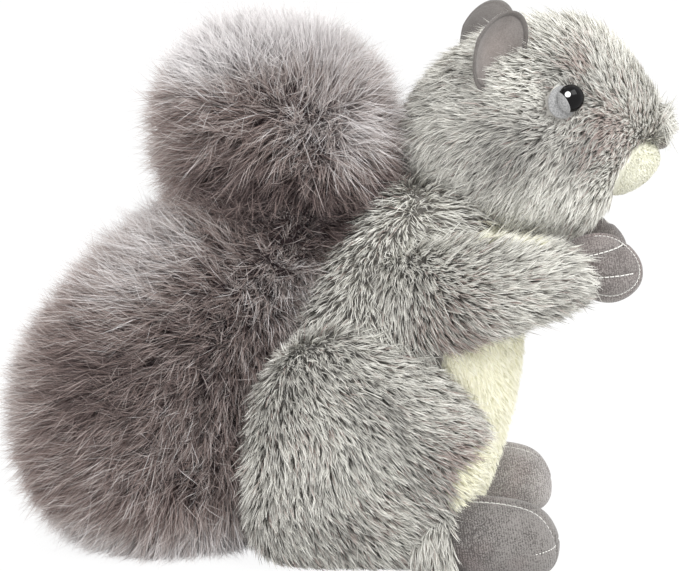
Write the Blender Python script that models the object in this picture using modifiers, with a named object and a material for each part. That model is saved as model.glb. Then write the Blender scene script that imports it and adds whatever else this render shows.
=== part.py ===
"""A sitting plush squirrel: stuffed pile cover, suede ears, paws and feet, lock-washer eyes.

Metres, +X ahead, +Z up. Its left side is +Y. It stands on z = 0 with the middle of its box over the origin.
Each stuffed piece is lofted through ribs, lines seen from the side that span its outline from edge to edge.
Cloth and filling are one solid. Where two pieces are sewn together, one is cut to fit the other.
"""

import math
import random

import bmesh
import bpy
from mathutils import Matrix, Vector, noise
from mathutils.bvhtree import BVHTree

SIDES = (("left", 1), ("right", -1))

# Fits, shared by every piece
SEAM_GAP = 0.0003
COVER_THICK = 0.003

# Torso, from the seat to the neck, and the belly panel that bulges out of its front
TORSO_HEIGHT = 0.176
TORSO_DEPTH = 0.128
TORSO_WIDTH = 0.094
TORSO_BACK = -0.046
BELLY_PROUD = 0.0040
BELLY_WIDTH = 0.088
BELLY_BACK = 0.52

# Head, from the nape to the snout. It turns on the neck, on top of the torso.
HEAD_LENGTH = 0.119
HEAD_HEIGHT = 0.0955
HEAD_WIDTH = 0.090
HEAD_TURN = math.radians(1)
NECK_ALONG = 0.719
NECK_SINK = 0.0265
NAPE_BEHIND_NECK = 0.0165
MUZZLE_LENGTH = 0.041
MUZZLE_HEIGHT = 0.036
MUZZLE_WIDTH = 0.054
MUZZLE_BACK = 0.0022
MUZZLE_UP = 0.150
NOSE_DEPTH = 0.009
NOSE_WIDTH = 0.011
NOSE_HEIGHT = 0.008
NOSE_PROUD = 0.0030
NOSE_UP = 0.42

# Eyes: a dome on a shank, the felt behind it and the washer that locks it
EYE_DIAMETER = 0.0122
EYE_DOME = 0.0052
EYE_RIM = 0.0008
EYE_ALONG = 0.595
EYE_UP = 0.674
EYE_SEAT_DEPTH = 0.0010
EYE_FACES_AHEAD = math.radians(22)
EYE_FACES_UP = math.radians(6)
SHANK_DIAMETER = 0.0046
SHANK_LENGTH = 0.012
WASHER_DIAMETER = 0.014
WASHER_THICK = 0.0018
WASHER_COLLAR = 0.0014
FELT_DIAMETER = 0.0145
FELT_THICK = 0.0012
FELT_BEHIND = 0.0030
FELT_BELOW = 0.0016
POCKET_REACH = 0.02

# Ears
EAR_WIDTH = 0.027
EAR_HEIGHT = 0.038
EAR_THICK = 0.0032
EAR_SIDES = 10
EAR_CUP = 0.0065
EAR_RIM_SHARE = 0.36
EAR_NARROWS = 0.28
EAR_ALONG = 0.336
EAR_UP = 0.882
EAR_OUT = 0.755
EAR_FACES_AHEAD = math.radians(29)
EAR_LEANS_OUT = math.radians(10)
EAR_TILT = math.radians(24)

# Arms and paws
ARM_LENGTH = 0.078
ARM_DEPTH = 0.055
ARM_WIDTH = 0.042
ARM_INSIDE = 0.004
SHOULDER_ALONG = 0.63
ELBOW_UP = 0.54
PAW_LENGTH = 0.039
PAW_HEIGHT = 0.034
PAW_WIDTH = 0.027
PAW_IN_SLEEVE = 0.38
PAW_UP = 0.42
PAW_SPREAD = 0.026

# Haunches and feet
HAUNCH_LENGTH = 0.1075
HAUNCH_HEIGHT = 0.113
HAUNCH_WIDTH = 0.046
HAUNCH_INSIDE = 0.007
HAUNCH_BEHIND = 0.0040
FOOT_LENGTH = 0.072
FOOT_HEIGHT = 0.036
FOOT_WIDTH = 0.035
FOOT_IN_HAUNCH = 0.62
FOOT_SPREAD = 0.041
FOOT_TURN = {"left": math.radians(-3), "right": math.radians(14)}
FOOT_AHEAD = {"left": 0.012, "right": 0.0075}

# Tail, from the floor to the top of the curl
TAIL_DEPTH = 0.169
TAIL_HEIGHT = 0.244
TAIL_WIDTH = 0.098
TAIL_OVERLAP = 0.034
TAIL_FRONT = 0.82

# Locks of pile: how far they stand out, how far they lie over, and how far from a seam they start
BODY_TUFT = 0.0040
TAIL_TUFT = 0.0090
TUFT_LEAN = 1.5
TUFT_LEAN_LIMIT = 0.48
TUFT_CLEAR = 0.0030
STUFFING_LUMP = 0.0014
LOCK_SCATTER = 0.34
TUFT_RANGE = (0.45, 1.2)
TUFT_ABOVE_FLOOR = 0.010
BARE_SHARE = 0.18
LUMP_PITCH = 0.028

# Which way the locks of each piece lie
PILE_FLOWS = {
    "torso": (-0.2, 0, -1),
    "head": (-0.8, 0, -0.5),
    "left_haunch": (0.5, 0, -0.9),
    "right_haunch": (0.5, 0, -0.9),
    "left_arm": (0.8, 0, -0.6),
    "right_arm": (0.8, 0, -0.6),
    "tail": (-0.6, 0, 0.5),
}

FUR_GREY = (0.38, 0.37, 0.34)
TAIL_BROWN = (0.17, 0.13, 0.135)
CREAM = (0.84, 0.82, 0.66)
SUEDE_GREY = (0.21, 0.19, 0.185)
FELT_GREY = (0.55, 0.55, 0.54)
EYE_BLACK = (0.008, 0.008, 0.009)
WASHER_WHITE = (0.75, 0.75, 0.72)

# Ribs. Each row holds shares of the piece's own sizes.
TORSO_RIBS = (
    # up, back, front, width
    (-0.02, 0.17, 0.74, 0.62),
    (0.10, 0.04, 0.86, 0.90),
    (0.30, 0.00, 0.95, 1.00),
    (0.53, 0.08, 1.01, 1.00),
    (0.74, 0.25, 0.99, 0.95),
    (0.90, 0.42, 0.96, 0.80),
    (1.00, 0.55, 0.86, 0.48),
)
HEAD_RIBS = (
    # along, top, bottom, width
    (0.00, 0.56, 0.34, 0.20),
    (0.13, 0.78, 0.15, 0.66),
    (0.33, 0.94, 0.02, 0.96),
    (0.52, 1.00, -0.04, 1.00),
    (0.69, 1.00, -0.03, 0.94),
    (0.80, 0.93, 0.11, 0.80),
    (0.90, 0.79, 0.35, 0.55),
    (0.98, 0.63, 0.42, 0.32),
    (1.01, 0.55, 0.44, 0.15),
)
MUZZLE_RIBS = (
    # along, top, bottom, width
    (0.00, 0.72, 0.28, 0.50),
    (0.22, 0.95, 0.06, 0.92),
    (0.58, 1.00, 0.00, 1.00),
    (0.86, 0.82, 0.20, 0.76),
    (1.00, 0.60, 0.42, 0.34),
)
HAUNCH_RIBS = (
    # along, top, bottom, width
    (0.00, 0.62, 0.12, 0.34),
    (0.10, 0.85, 0.02, 0.80),
    (0.30, 1.00, -0.02, 1.00),
    (0.52, 0.98, -0.02, 1.00),
    (0.74, 0.88, -0.02, 0.94),
    (0.85, 0.79, 0.02, 0.86),
    (0.91, 0.71, 0.26, 0.74),
    (1.00, 0.62, 0.43, 0.38),
)
FOOT_RIBS = (
    # along, top, bottom, width
    (0.00, 0.68, 0.20, 0.40),
    (0.12, 0.92, 0.00, 0.82),
    (0.54, 1.00, -0.03, 1.00),
    (0.86, 0.94, -0.02, 0.95),
    (0.96, 0.70, 0.08, 0.72),
    (1.00, 0.50, 0.24, 0.40),
)
PAW_RIBS = (
    # along, top, bottom, width
    (0.00, 0.72, 0.42, 0.36),
    (0.14, 0.88, 0.26, 0.72),
    (0.42, 1.00, 0.06, 0.98),
    (0.70, 0.96, 0.02, 1.00),
    (0.92, 0.74, 0.18, 0.70),
    (1.00, 0.56, 0.34, 0.30),
)
ARM_RIBS = (
    # along, top, bottom, width, how far out
    (-0.30, 0.80, 0.24, 0.24, 0.78),
    (-0.08, 0.94, 0.12, 0.56, 0.88),
    (0.14, 1.02, 0.12, 0.86, 0.98),
    (0.42, 1.03, 0.25, 1.00, 1.02),
    (0.82, 0.96, 0.42, 0.76, 0.90),
    (0.95, 0.85, 0.50, 0.54, 0.74),
    (1.00, 0.74, 0.55, 0.28, 0.70),
)
TAIL_RIBS = (
    # ahead and up at the back end, ahead and up at the front end, width
    (0.24, -0.03, 0.60, -0.03, 0.60),
    (0.10, 0.05, 0.74, 0.05, 0.84),
    (0.01, 0.16, 0.78, 0.15, 0.97),
    (-0.01, 0.29, 0.80, 0.27, 1.00),
    (0.07, 0.43, 0.82, 0.39, 0.94),
    (0.27, 0.56, 0.86, 0.52, 0.80),
    (0.49, 0.655, 0.98, 0.62, 0.62),
    (0.42, 0.74, 1.06, 0.71, 0.80),
    (0.40, 0.84, 1.04, 0.82, 0.94),
    (0.47, 0.95, 0.98, 0.92, 0.84),
    (0.58, 1.00, 0.85, 0.99, 0.46),
)


def clear_scene():
    for obj in list(bpy.data.objects):
        bpy.data.objects.remove(obj, do_unlink=True)


def new_collection(name):
    made = bpy.data.collections.new(name)
    bpy.context.scene.collection.children.link(made)
    return made


def plain_material(name, colour, roughness):
    material = bpy.data.materials.new(name)
    material.use_nodes = True
    shader = material.node_tree.nodes["Principled BSDF"]
    shader.inputs["Base Color"].default_value = (*colour, 1)
    shader.inputs["Roughness"].default_value = roughness
    shader.inputs["Metallic"].default_value = 0
    return material


def mesh_from(shape, name):
    mesh = bpy.data.meshes.new(name)
    shape.to_mesh(mesh)
    shape.free()
    return mesh


def add_object(name, mesh, material, home, parent):
    obj = bpy.data.objects.new(name, mesh)
    mesh.materials.clear()
    if material:
        mesh.materials.append(material)
    home.objects.link(obj)
    obj.parent = parent
    return obj


def empty(name, place, turn, home, parent=None):
    """A turning frame that pieces are parented to."""
    frame = bpy.data.objects.new(name, None)
    frame.location = place
    frame.rotation_euler.z = turn
    frame.parent = parent
    home.objects.link(frame)
    return frame


def hide_cutter(cutter):
    cutter.hide_render = True
    cutter.display_type = "WIRE"


def cut(obj, cutter):
    seat = obj.modifiers.new("Fits " + cutter.name, "BOOLEAN")
    seat.operation = "DIFFERENCE"
    seat.object = cutter


def settle(obj):
    """Puts what the modifiers make into the object's own mesh."""
    bpy.context.view_layer.update()
    graph = bpy.context.evaluated_depsgraph_get()
    made = bpy.data.meshes.new_from_object(obj.evaluated_get(graph))
    obj.modifiers.clear()
    old = obj.data
    obj.data = made
    bpy.data.meshes.remove(old)
    return obj


def subdivide(obj, levels):
    smooth = obj.modifiers.new("Soft", "SUBSURF")
    smooth.levels = levels
    smooth.render_levels = levels


def rib_cage(ribs, sides):
    """A cage with one ring round each rib, and a face over each end.

    A rib is (x, z, x, z, y, half width): its two ends in the side view, how far out it is, and half the form's
    width there. Subdivision draws a ring of so many points in, so each ring is made larger by the same share.
    """
    outside = 3 / (2 + math.cos(math.tau / sides))
    angles = [math.tau * k / sides for k in range(sides)]
    cage = bmesh.new()
    rings = []
    for x1, z1, x2, z2, y, half_width in ribs:
        middle = Vector(((x1 + x2) / 2, y, (z1 + z2) / 2))
        reach = Vector(((x2 - x1) / 2, 0, (z2 - z1) / 2)) * outside
        out = Vector((0, half_width * outside, 0))
        rings.append([cage.verts.new(middle + reach * math.cos(a) + out * math.sin(a)) for a in angles])
    for near, far in zip(rings, rings[1:]):
        for k in range(sides):
            cage.faces.new((near[k - 1], near[k], far[k], far[k - 1]))
    cage.faces.new(rings[0])
    cage.faces.new(rings[-1])
    bmesh.ops.recalc_face_normals(cage, faces=cage.faces)
    return mesh_from(cage, "cage")


def triangulate(mesh):
    """Fixes the diagonals, so that a piece and what is cut to fit it have the same facets."""
    shape = bmesh.new()
    shape.from_mesh(mesh)
    bmesh.ops.triangulate(shape, faces=shape.faces)
    shape.to_mesh(mesh)
    shape.free()


def stuffed(name, ribs, material, home, parent, sides=8, levels=1):
    """A soft piece: a rib cage, subdivided."""
    obj = add_object(name, rib_cage(ribs, sides), material, home, parent)
    subdivide(obj, levels)
    return settle(obj)


def upright_ribs(shares, length, height, width, start, foot=0.0, spread=0.0):
    """Upright ribs in a row from back to front, for shares of (along, top, bottom, width)."""
    ribs = []
    for along, top, bottom, wide in shares:
        x = start + along * length
        ribs.append((x, foot + bottom * height, x, foot + top * height, spread, wide * width / 2))
    return ribs


def torso_ribs():
    ribs = []
    for up, back, front, wide in TORSO_RIBS:
        z = up * TORSO_HEIGHT
        back_end = TORSO_BACK + back * TORSO_DEPTH
        front_end = TORSO_BACK + front * TORSO_DEPTH
        ribs.append((back_end, z, front_end, z, 0.0, wide * TORSO_WIDTH / 2))
    return ribs


def belly_ribs():
    """The torso's own front, a little proud of it and narrower, from the seat to the throat."""
    ribs = []
    for up, _, front, wide in TORSO_RIBS[:-1]:
        z = up * TORSO_HEIGHT
        front_end = TORSO_BACK + front * TORSO_DEPTH + BELLY_PROUD
        back_end = front_end - BELLY_BACK * TORSO_DEPTH * wide
        ribs.append((back_end, z, front_end, z, 0.0, wide * BELLY_WIDTH / 2))
    return ribs


def arm_ribs(sign, shoulder, foot):
    spread = sign * (TORSO_WIDTH / 2 - ARM_INSIDE)
    ribs = []
    for along, top, bottom, wide, out in ARM_RIBS:
        x = shoulder + along * ARM_LENGTH
        low = foot + bottom * ARM_DEPTH
        high = foot + top * ARM_DEPTH
        ribs.append((x, low, x, high, out * spread, wide * ARM_WIDTH / 2))
    return ribs


def tail_ribs():
    start = TORSO_BACK + TAIL_OVERLAP - TAIL_FRONT * TAIL_DEPTH
    ribs = []
    for x1, z1, x2, z2, wide in TAIL_RIBS:
        back_end = (start + x1 * TAIL_DEPTH, z1 * TAIL_HEIGHT)
        front_end = (start + x2 * TAIL_DEPTH, z2 * TAIL_HEIGHT)
        ribs.append((*back_end, *front_end, 0.0, wide * TAIL_WIDTH / 2))
    return ribs


def grown_copy(obj, home):
    """The form of a piece, grown by the gap that its neighbours keep to it."""
    cutter = add_object(obj.name + "_seat", obj.data.copy(), None, home, obj)
    triangulate(cutter.data)
    grow = cutter.modifiers.new("Gap", "DISPLACE")
    grow.mid_level = 0
    grow.strength = SEAM_GAP
    hide_cutter(cutter)
    return cutter


def floor_block(home, root):
    """What cuts each piece flat where it stands."""
    shape = bmesh.new()
    bmesh.ops.create_cube(shape, size=1)
    block = add_object("floor_block", mesh_from(shape, "floor_block"), None, home, root)
    block.matrix_basis = Matrix.LocRotScale((0, 0, -0.25), None, (1, 1, 0.5))
    hide_cutter(block)
    return block


def drum(name, radius, low, high, place, material, home, parent, sides=14):
    """A plain cylinder from low to high along its Z."""
    shape = bmesh.new()
    bmesh.ops.create_cone(
        shape,
        cap_ends=True,
        segments=sides,
        radius1=radius,
        radius2=radius,
        depth=high - low,
        matrix=Matrix.Translation((0, 0, (low + high) / 2)),
    )
    obj = add_object(name, mesh_from(shape, name), material, home, parent)
    obj.matrix_basis = place
    return obj


def turned(name, profile, place, material, home, parent, steps=13):
    """A turned piece: a profile of (radius, height) points, spun round its Z."""
    line = bmesh.new()
    points = [line.verts.new((radius, 0, height)) for radius, height in profile]
    for near, far in zip(points, points[1:]):
        line.edges.new((near, far))
    obj = add_object(name, mesh_from(line, name), material, home, parent)
    obj.matrix_basis = place
    spin = obj.modifiers.new("Turned", "SCREW")
    spin.steps = steps
    spin.render_steps = steps
    spin.use_merge_vertices = True
    spin.merge_threshold = 0.00001
    spin.use_smooth_shade = True
    return obj


def facing_frame(place, direction):
    """A frame at a place whose Z points in this direction and whose X is level."""
    z = direction.normalized()
    x = Vector((0, 0, 1)).cross(z).normalized()
    turn = Matrix((x, z.cross(x), z)).transposed().to_4x4()
    return Matrix.Translation(place) @ turn


def search_tree(obj, place=None):
    """The piece's surface to search, in its parent's frame, or moved to the world by its matrix."""
    place = place or Matrix()
    points = [place @ vertex.co for vertex in obj.data.vertices]
    return BVHTree.FromPolygons(points, [tuple(face.vertices) for face in obj.data.polygons])


def eye_profile():
    """From the top of the dome down its side, under its rim to the shank, and down the shank."""
    radius = EYE_DIAMETER / 2
    shank = SHANK_DIAMETER / 2
    angles = [math.radians(15 * k) for k in range(6)]
    dome = [(radius * math.sin(a), EYE_DOME * math.cos(a)) for a in angles]
    under = [(radius, 0), (radius - EYE_RIM, -EYE_RIM), (shank, -EYE_RIM)]
    return [*dome, *under, (shank, -SHANK_LENGTH), (0, -SHANK_LENGTH)]


def washer_profile():
    """A flat ring with a collar behind it that grips the shank: a closed loop, down its outer side."""
    inner = SHANK_DIAMETER / 2 + SEAM_GAP
    collar = inner + WASHER_COLLAR
    outer = WASHER_DIAMETER / 2
    end = -WASHER_THICK - WASHER_COLLAR
    front = [(inner, 0), (outer, 0), (outer, -WASHER_THICK), (collar, -WASHER_THICK)]
    return [*front, (collar, end), (inner, end), (inner, 0)]


def make_eye(side, sign, head, looks, home, cutters):
    """An eye in its seat: the dome lies on the felt, its shank goes through the cover, and the washer locks it.

    Returns the two pockets that have to stay clear of pile.
    """
    neck = head.parent
    along = -NAPE_BEHIND_NECK + EYE_ALONG * HEAD_LENGTH
    outside = Vector((along, sign * HEAD_WIDTH, EYE_UP * HEAD_HEIGHT))
    skin = search_tree(head).ray_cast(outside, Vector((0, -sign, 0)))[0]
    ahead = Vector((math.sin(EYE_FACES_AHEAD), sign * math.cos(EYE_FACES_AHEAD), 0))
    facing = ahead * math.cos(EYE_FACES_UP) + Vector((0, 0, math.sin(EYE_FACES_UP)))
    seat = facing_frame(skin - facing * EYE_SEAT_DEPTH, facing)
    felt_seat = seat @ Matrix.Translation((sign * FELT_BEHIND, -FELT_BELOW, 0))

    dome_base = FELT_THICK + 2 * SEAM_GAP + EYE_RIM
    washer_face = -COVER_THICK - SEAM_GAP
    washer_back = washer_face - WASHER_THICK - WASHER_COLLAR - 2 * SEAM_GAP
    shank_end = dome_base - SHANK_LENGTH - SEAM_GAP
    pockets = {}
    for name, diameter, low, high, place in (
        ("felt", FELT_DIAMETER, -SEAM_GAP, POCKET_REACH, felt_seat),
        ("dome", EYE_DIAMETER, FELT_THICK, POCKET_REACH, seat),
        ("shank", SHANK_DIAMETER, shank_end, POCKET_REACH, seat),
        ("washer", WASHER_DIAMETER, washer_back, washer_face + SEAM_GAP, seat),
    ):
        radius = diameter / 2 + SEAM_GAP
        pockets[name] = drum(f"{side}_{name}_pocket", radius, low, high, place, None, cutters, neck)
        hide_cutter(pockets[name])
        cut(head, pockets[name])

    at_dome = seat @ Matrix.Translation((0, 0, dome_base))
    turned(side + "_eye", eye_profile(), at_dome, looks["gloss"], home, neck)
    at_washer = seat @ Matrix.Translation((0, 0, washer_face))
    turned(side + "_eye_washer", washer_profile(), at_washer, looks["nylon"], home, neck)
    radius = FELT_DIAMETER / 2
    felt = drum(side + "_eyelid_felt", radius, 0, FELT_THICK, felt_seat, looks["felt"], home, neck)
    cut(felt, pockets["shank"])
    return [pockets["felt"], pockets["dome"]]


def make_ear(side, sign, looks, home, neck):
    """A cupped leaf: a disc pulled to a teardrop with its middle pushed back, given the thickness of the cloth."""
    shape = bmesh.new()
    bmesh.ops.create_circle(shape, cap_ends=True, segments=EAR_SIDES, radius=1)
    bmesh.ops.inset_individual(shape, faces=shape.faces[:], thickness=EAR_RIM_SHARE)
    middle = [face for face in shape.faces if len(face.verts) == EAR_SIDES]
    bmesh.ops.poke(shape, faces=middle)
    for vertex in shape.verts:
        from_middle = min(1.0, vertex.co.xy.length)
        narrowing = 1 - EAR_NARROWS * max(0.0, -vertex.co.y)
        vertex.co.x *= narrowing * EAR_WIDTH / 2
        vertex.co.y *= EAR_HEIGHT / 2
        vertex.co.z = -EAR_CUP * (1 - from_middle**2)
    ear = add_object(side + "_ear", mesh_from(shape, side + "_ear"), looks["suede"], home, neck)
    ahead = Vector((math.sin(EAR_FACES_AHEAD), sign * math.cos(EAR_FACES_AHEAD), 0))
    facing = ahead * math.cos(EAR_LEANS_OUT) - Vector((0, 0, math.sin(EAR_LEANS_OUT)))
    along = -NAPE_BEHIND_NECK + EAR_ALONG * HEAD_LENGTH
    place = Vector((along, sign * EAR_OUT * HEAD_WIDTH / 2, EAR_UP * HEAD_HEIGHT))
    ear.matrix_basis = facing_frame(place, facing) @ Matrix.Rotation(sign * EAR_TILT, 4, "Z")
    cloth = ear.modifiers.new("Cloth", "SOLIDIFY")
    cloth.thickness = EAR_THICK
    cloth.offset = 0
    subdivide(ear, 1)
    return settle(ear)


def make_nose(looks, home, neck):
    shape = bmesh.new()
    bmesh.ops.create_uvsphere(shape, u_segments=10, v_segments=7, radius=1)
    nose = add_object("nose", mesh_from(shape, "nose"), looks["suede"], home, neck)
    tip = -NAPE_BEHIND_NECK + HEAD_LENGTH
    place = (tip + NOSE_PROUD - NOSE_DEPTH / 2, 0, NOSE_UP * HEAD_HEIGHT)
    half_sizes = (NOSE_DEPTH / 2, NOSE_WIDTH / 2, NOSE_HEIGHT / 2)
    nose.matrix_basis = Matrix.LocRotScale(place, None, half_sizes)
    return nose


def clear_of(point, trees, least):
    """True if a point is outside each form and at least so far from it."""
    for tree in trees:
        near, normal, _, distance = tree.find_nearest(point)
        if distance < least or (point - near).dot(normal) < 0:
            return False
    return True


def raise_pile(obj, trees, height, flow, seed):
    """Pokes faces of the cover out into locks of pile that lean along the flow.

    The trees are of the other pieces: no lock reaches a seam or an eye, where the pile is trapped or clipped.
    Corners between locks are moved along the skin, and sink or rise a little, as over lumps of stuffing.
    """
    draw = random.Random(seed)
    place = obj.matrix_world
    along = place.to_3x3().inverted() @ flow
    mesh = bmesh.new()
    mesh.from_mesh(obj.data)
    mesh.normal_update()
    in_open = {vertex for vertex in mesh.verts if clear_of(place @ vertex.co, trees, TUFT_CLEAR)}
    tips = {}
    for face in mesh.faces:
        if len(face.verts) != 4 or draw.random() < BARE_SHARE or not in_open.issuperset(face.verts):
            continue
        rise = height * draw.uniform(*TUFT_RANGE)
        lean = min(TUFT_LEAN * rise, TUFT_LEAN_LIMIT * math.sqrt(face.calc_area()))
        lay = along - face.normal * along.dot(face.normal)
        tip = face.calc_center_median() + face.normal * rise + lay.normalized() * lean
        if (place @ tip).z > TUFT_ABOVE_FLOOR and clear_of(place @ tip, trees, TUFT_CLEAR):
            tips[face] = tip
    raised = set(tips)
    moves = {}
    for vertex in mesh.verts:
        if raised.issuperset(vertex.link_faces):
            lump = noise.noise((place @ vertex.co) / LUMP_PITCH)
            shortest = min(edge.calc_length() for edge in vertex.link_edges)
            aside = Vector((draw.uniform(-1, 1), draw.uniform(-1, 1), draw.uniform(-1, 1)))
            aside -= vertex.normal * aside.dot(vertex.normal)
            moves[vertex] = aside * shortest * LOCK_SCATTER + vertex.normal * STUFFING_LUMP * lump
    for vertex, move in moves.items():
        vertex.co += move
    for vertex, tip in zip(bmesh.ops.poke(mesh, faces=list(tips))["verts"], list(tips.values())):
        vertex.co = tip
    bmesh.ops.triangulate(mesh, faces=mesh.faces)
    mesh.to_mesh(obj.data)
    mesh.free()


def centre_over_origin(root, home):
    """Moves the whole toy so that the middle of its box, seen from above, is over the origin."""
    bpy.context.view_layer.update()
    graph = bpy.context.evaluated_depsgraph_get()
    points = []
    for obj in home.objects:
        if obj.type == "MESH" and not obj.hide_render:
            seen = obj.evaluated_get(graph)
            points += [seen.matrix_world @ vertex.co for vertex in seen.data.vertices]
    for axis in (0, 1):
        along = [point[axis] for point in points]
        root.location[axis] -= (min(along) + max(along)) / 2


def stuff_all(looks, home, root, neck):
    """Every stuffed piece in its smooth form, by name, before any is cut."""
    soft = {}

    def add(name, ribs, look, parent, **cage):
        soft[name] = stuffed(name, ribs, looks[look], home, parent, **cage)

    nape = -NAPE_BEHIND_NECK
    add("torso", torso_ribs(), "fur", root, sides=10)
    add("belly_panel", belly_ribs(), "cream", root, sides=8)
    ribs = upright_ribs(HEAD_RIBS, HEAD_LENGTH, HEAD_HEIGHT, HEAD_WIDTH, nape)
    add("head", ribs, "fur", neck, sides=10)
    muzzle_start = nape + HEAD_LENGTH - MUZZLE_BACK - MUZZLE_LENGTH
    muzzle_foot = MUZZLE_UP * HEAD_HEIGHT
    ribs = upright_ribs(MUZZLE_RIBS, MUZZLE_LENGTH, MUZZLE_HEIGHT, MUZZLE_WIDTH, muzzle_start, muzzle_foot)
    add("muzzle", ribs, "cream", neck)
    add("tail", tail_ribs(), "tail_fur", root, sides=10)

    haunch_back = TORSO_BACK + HAUNCH_BEHIND
    haunch_spread = TORSO_WIDTH / 2 - HAUNCH_INSIDE
    shoulder = TORSO_BACK + SHOULDER_ALONG * TORSO_DEPTH
    arm_foot = ELBOW_UP * TORSO_HEIGHT
    wrist = shoulder + ARM_LENGTH - PAW_IN_SLEEVE * PAW_LENGTH
    paw_foot = arm_foot + PAW_UP * ARM_DEPTH
    for side, sign in SIDES:
        spread = sign * haunch_spread
        ribs = upright_ribs(HAUNCH_RIBS, HAUNCH_LENGTH, HAUNCH_HEIGHT, HAUNCH_WIDTH, haunch_back, 0, spread)
        add(side + "_haunch", ribs, "fur", root, sides=10)
        add(side + "_arm", arm_ribs(sign, shoulder, arm_foot), "fur", root)
        ribs = upright_ribs(PAW_RIBS, PAW_LENGTH, PAW_HEIGHT, PAW_WIDTH, wrist, paw_foot, sign * PAW_SPREAD)
        add(side + "_paw", ribs, "suede", root)
        heel = haunch_back + HAUNCH_LENGTH - FOOT_IN_HAUNCH * FOOT_LENGTH + FOOT_AHEAD[side]
        ankle = empty(side + "_ankle", (heel, sign * FOOT_SPREAD, 0), sign * FOOT_TURN[side], home, root)
        add(side + "_foot", upright_ribs(FOOT_RIBS, FOOT_LENGTH, FOOT_HEIGHT, FOOT_WIDTH, 0), "suede", ankle)
    return soft


def seats_of_each():
    """What each piece is sewn to or lies against, and so is cut to fit."""
    seated_on = {
        "belly_panel": ["torso"],
        "head": ["torso", "belly_panel"],
        "muzzle": ["head"],
        "tail": ["torso", "left_haunch", "right_haunch", "head"],
        "nose": ["head", "muzzle"],
    }
    for side, _ in SIDES:
        seated_on[side + "_haunch"] = ["torso", "belly_panel"]
        seated_on[side + "_arm"] = ["torso", "belly_panel", "head", side + "_haunch"]
        seated_on[side + "_paw"] = [side + "_arm", "head", "muzzle"]
        seated_on[side + "_foot"] = [side + "_haunch", "torso", "belly_panel"]
        seated_on[side + "_ear"] = ["head"]
    return seated_on


def build():
    clear_scene()
    home = new_collection("plush_squirrel")
    cutters = new_collection("cutters")
    looks = {
        "fur": plain_material("silver_pile", FUR_GREY, 0.9),
        "tail_fur": plain_material("tail_pile", TAIL_BROWN, 0.9),
        "cream": plain_material("cream_pile", CREAM, 0.9),
        "suede": plain_material("grey_suede", SUEDE_GREY, 0.95),
        "felt": plain_material("grey_felt", FELT_GREY, 0.95),
        "gloss": plain_material("black_gloss", EYE_BLACK, 0.08),
        "nylon": plain_material("white_nylon", WASHER_WHITE, 0.5),
    }
    root = empty("squirrel", (0, 0, 0), 0, home)
    neck_place = (TORSO_BACK + NECK_ALONG * TORSO_DEPTH, 0, TORSO_HEIGHT - NECK_SINK)
    neck = empty("neck", neck_place, HEAD_TURN, home, root)

    soft = stuff_all(looks, home, root, neck)
    for name in set(soft) - set(PILE_FLOWS):
        triangulate(soft[name].data)
    seats = {name: grown_copy(piece, cutters) for name, piece in soft.items()}
    floor = floor_block(cutters, root)

    small = {"nose": make_nose(looks, home, neck)}
    clipped = []
    for side, sign in SIDES:
        clipped += make_eye(side, sign, soft["head"], looks, home, cutters)
        small[side + "_ear"] = make_ear(side, sign, looks, home, neck)

    bpy.context.view_layer.update()
    around = [*soft.values(), *small.values(), *clipped]
    trees = {piece.name: search_tree(piece, piece.matrix_world) for piece in around}
    for seed, (name, flow) in enumerate(PILE_FLOWS.items()):
        others = [tree for other, tree in trees.items() if other != name]
        raise_pile(soft[name], others, TAIL_TUFT if name == "tail" else BODY_TUFT, Vector(flow), seed)

    for name, hosts in seats_of_each().items():
        for host in hosts:
            cut(soft.get(name) or small[name], seats[host])
    for piece in soft.values():
        cut(piece, floor)
    centre_over_origin(root, home)


build()
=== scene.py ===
# %% [markdown]
# A plush squirrel is a handful of stuffed forms under a coat of pile. This lesson dresses the packed
# solids in three steps: smooth undercoats shaped by ribs, hundreds of thousands of strands combed over
# them, and the small sewn pieces: suede, felt, eyes and thread.

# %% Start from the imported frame
import math
from itertools import product

import bpy
import numpy as np
from mathutils import Matrix, Vector


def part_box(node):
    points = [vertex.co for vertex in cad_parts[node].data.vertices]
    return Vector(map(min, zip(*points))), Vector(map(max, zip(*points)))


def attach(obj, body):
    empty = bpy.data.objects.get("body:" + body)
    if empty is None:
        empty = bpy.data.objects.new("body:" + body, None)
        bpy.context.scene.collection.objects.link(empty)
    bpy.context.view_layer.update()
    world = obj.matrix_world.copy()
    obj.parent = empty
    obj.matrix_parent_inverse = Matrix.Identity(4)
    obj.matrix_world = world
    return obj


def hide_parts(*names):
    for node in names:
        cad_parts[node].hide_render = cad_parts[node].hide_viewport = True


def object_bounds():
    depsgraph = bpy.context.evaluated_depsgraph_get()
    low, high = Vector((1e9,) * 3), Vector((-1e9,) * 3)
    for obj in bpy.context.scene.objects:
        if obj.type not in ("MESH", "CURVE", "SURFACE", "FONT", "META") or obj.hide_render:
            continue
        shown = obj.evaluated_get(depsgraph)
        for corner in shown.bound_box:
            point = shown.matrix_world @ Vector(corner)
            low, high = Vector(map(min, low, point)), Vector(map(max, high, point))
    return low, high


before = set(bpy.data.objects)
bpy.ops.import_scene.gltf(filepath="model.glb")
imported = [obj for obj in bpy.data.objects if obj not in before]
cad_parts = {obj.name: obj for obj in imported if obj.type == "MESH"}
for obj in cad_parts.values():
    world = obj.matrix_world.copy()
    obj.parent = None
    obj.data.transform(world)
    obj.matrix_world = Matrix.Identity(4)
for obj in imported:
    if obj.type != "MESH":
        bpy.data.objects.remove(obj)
cad_box = [[float(value) for value in corner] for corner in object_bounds()]
MM = 0.001
SIDES = (("left", 1), ("right", -1))
print("solid box", cad_box)

# %% [markdown]
# Most of what makes a finish believable is arithmetic on patterns. Blender does it with one Math node for
# each sign, which soon becomes a thicket of links. Wrapping a socket in a small class lets the same
# arithmetic be written as a Python expression, and each operator then adds its own node.


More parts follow.
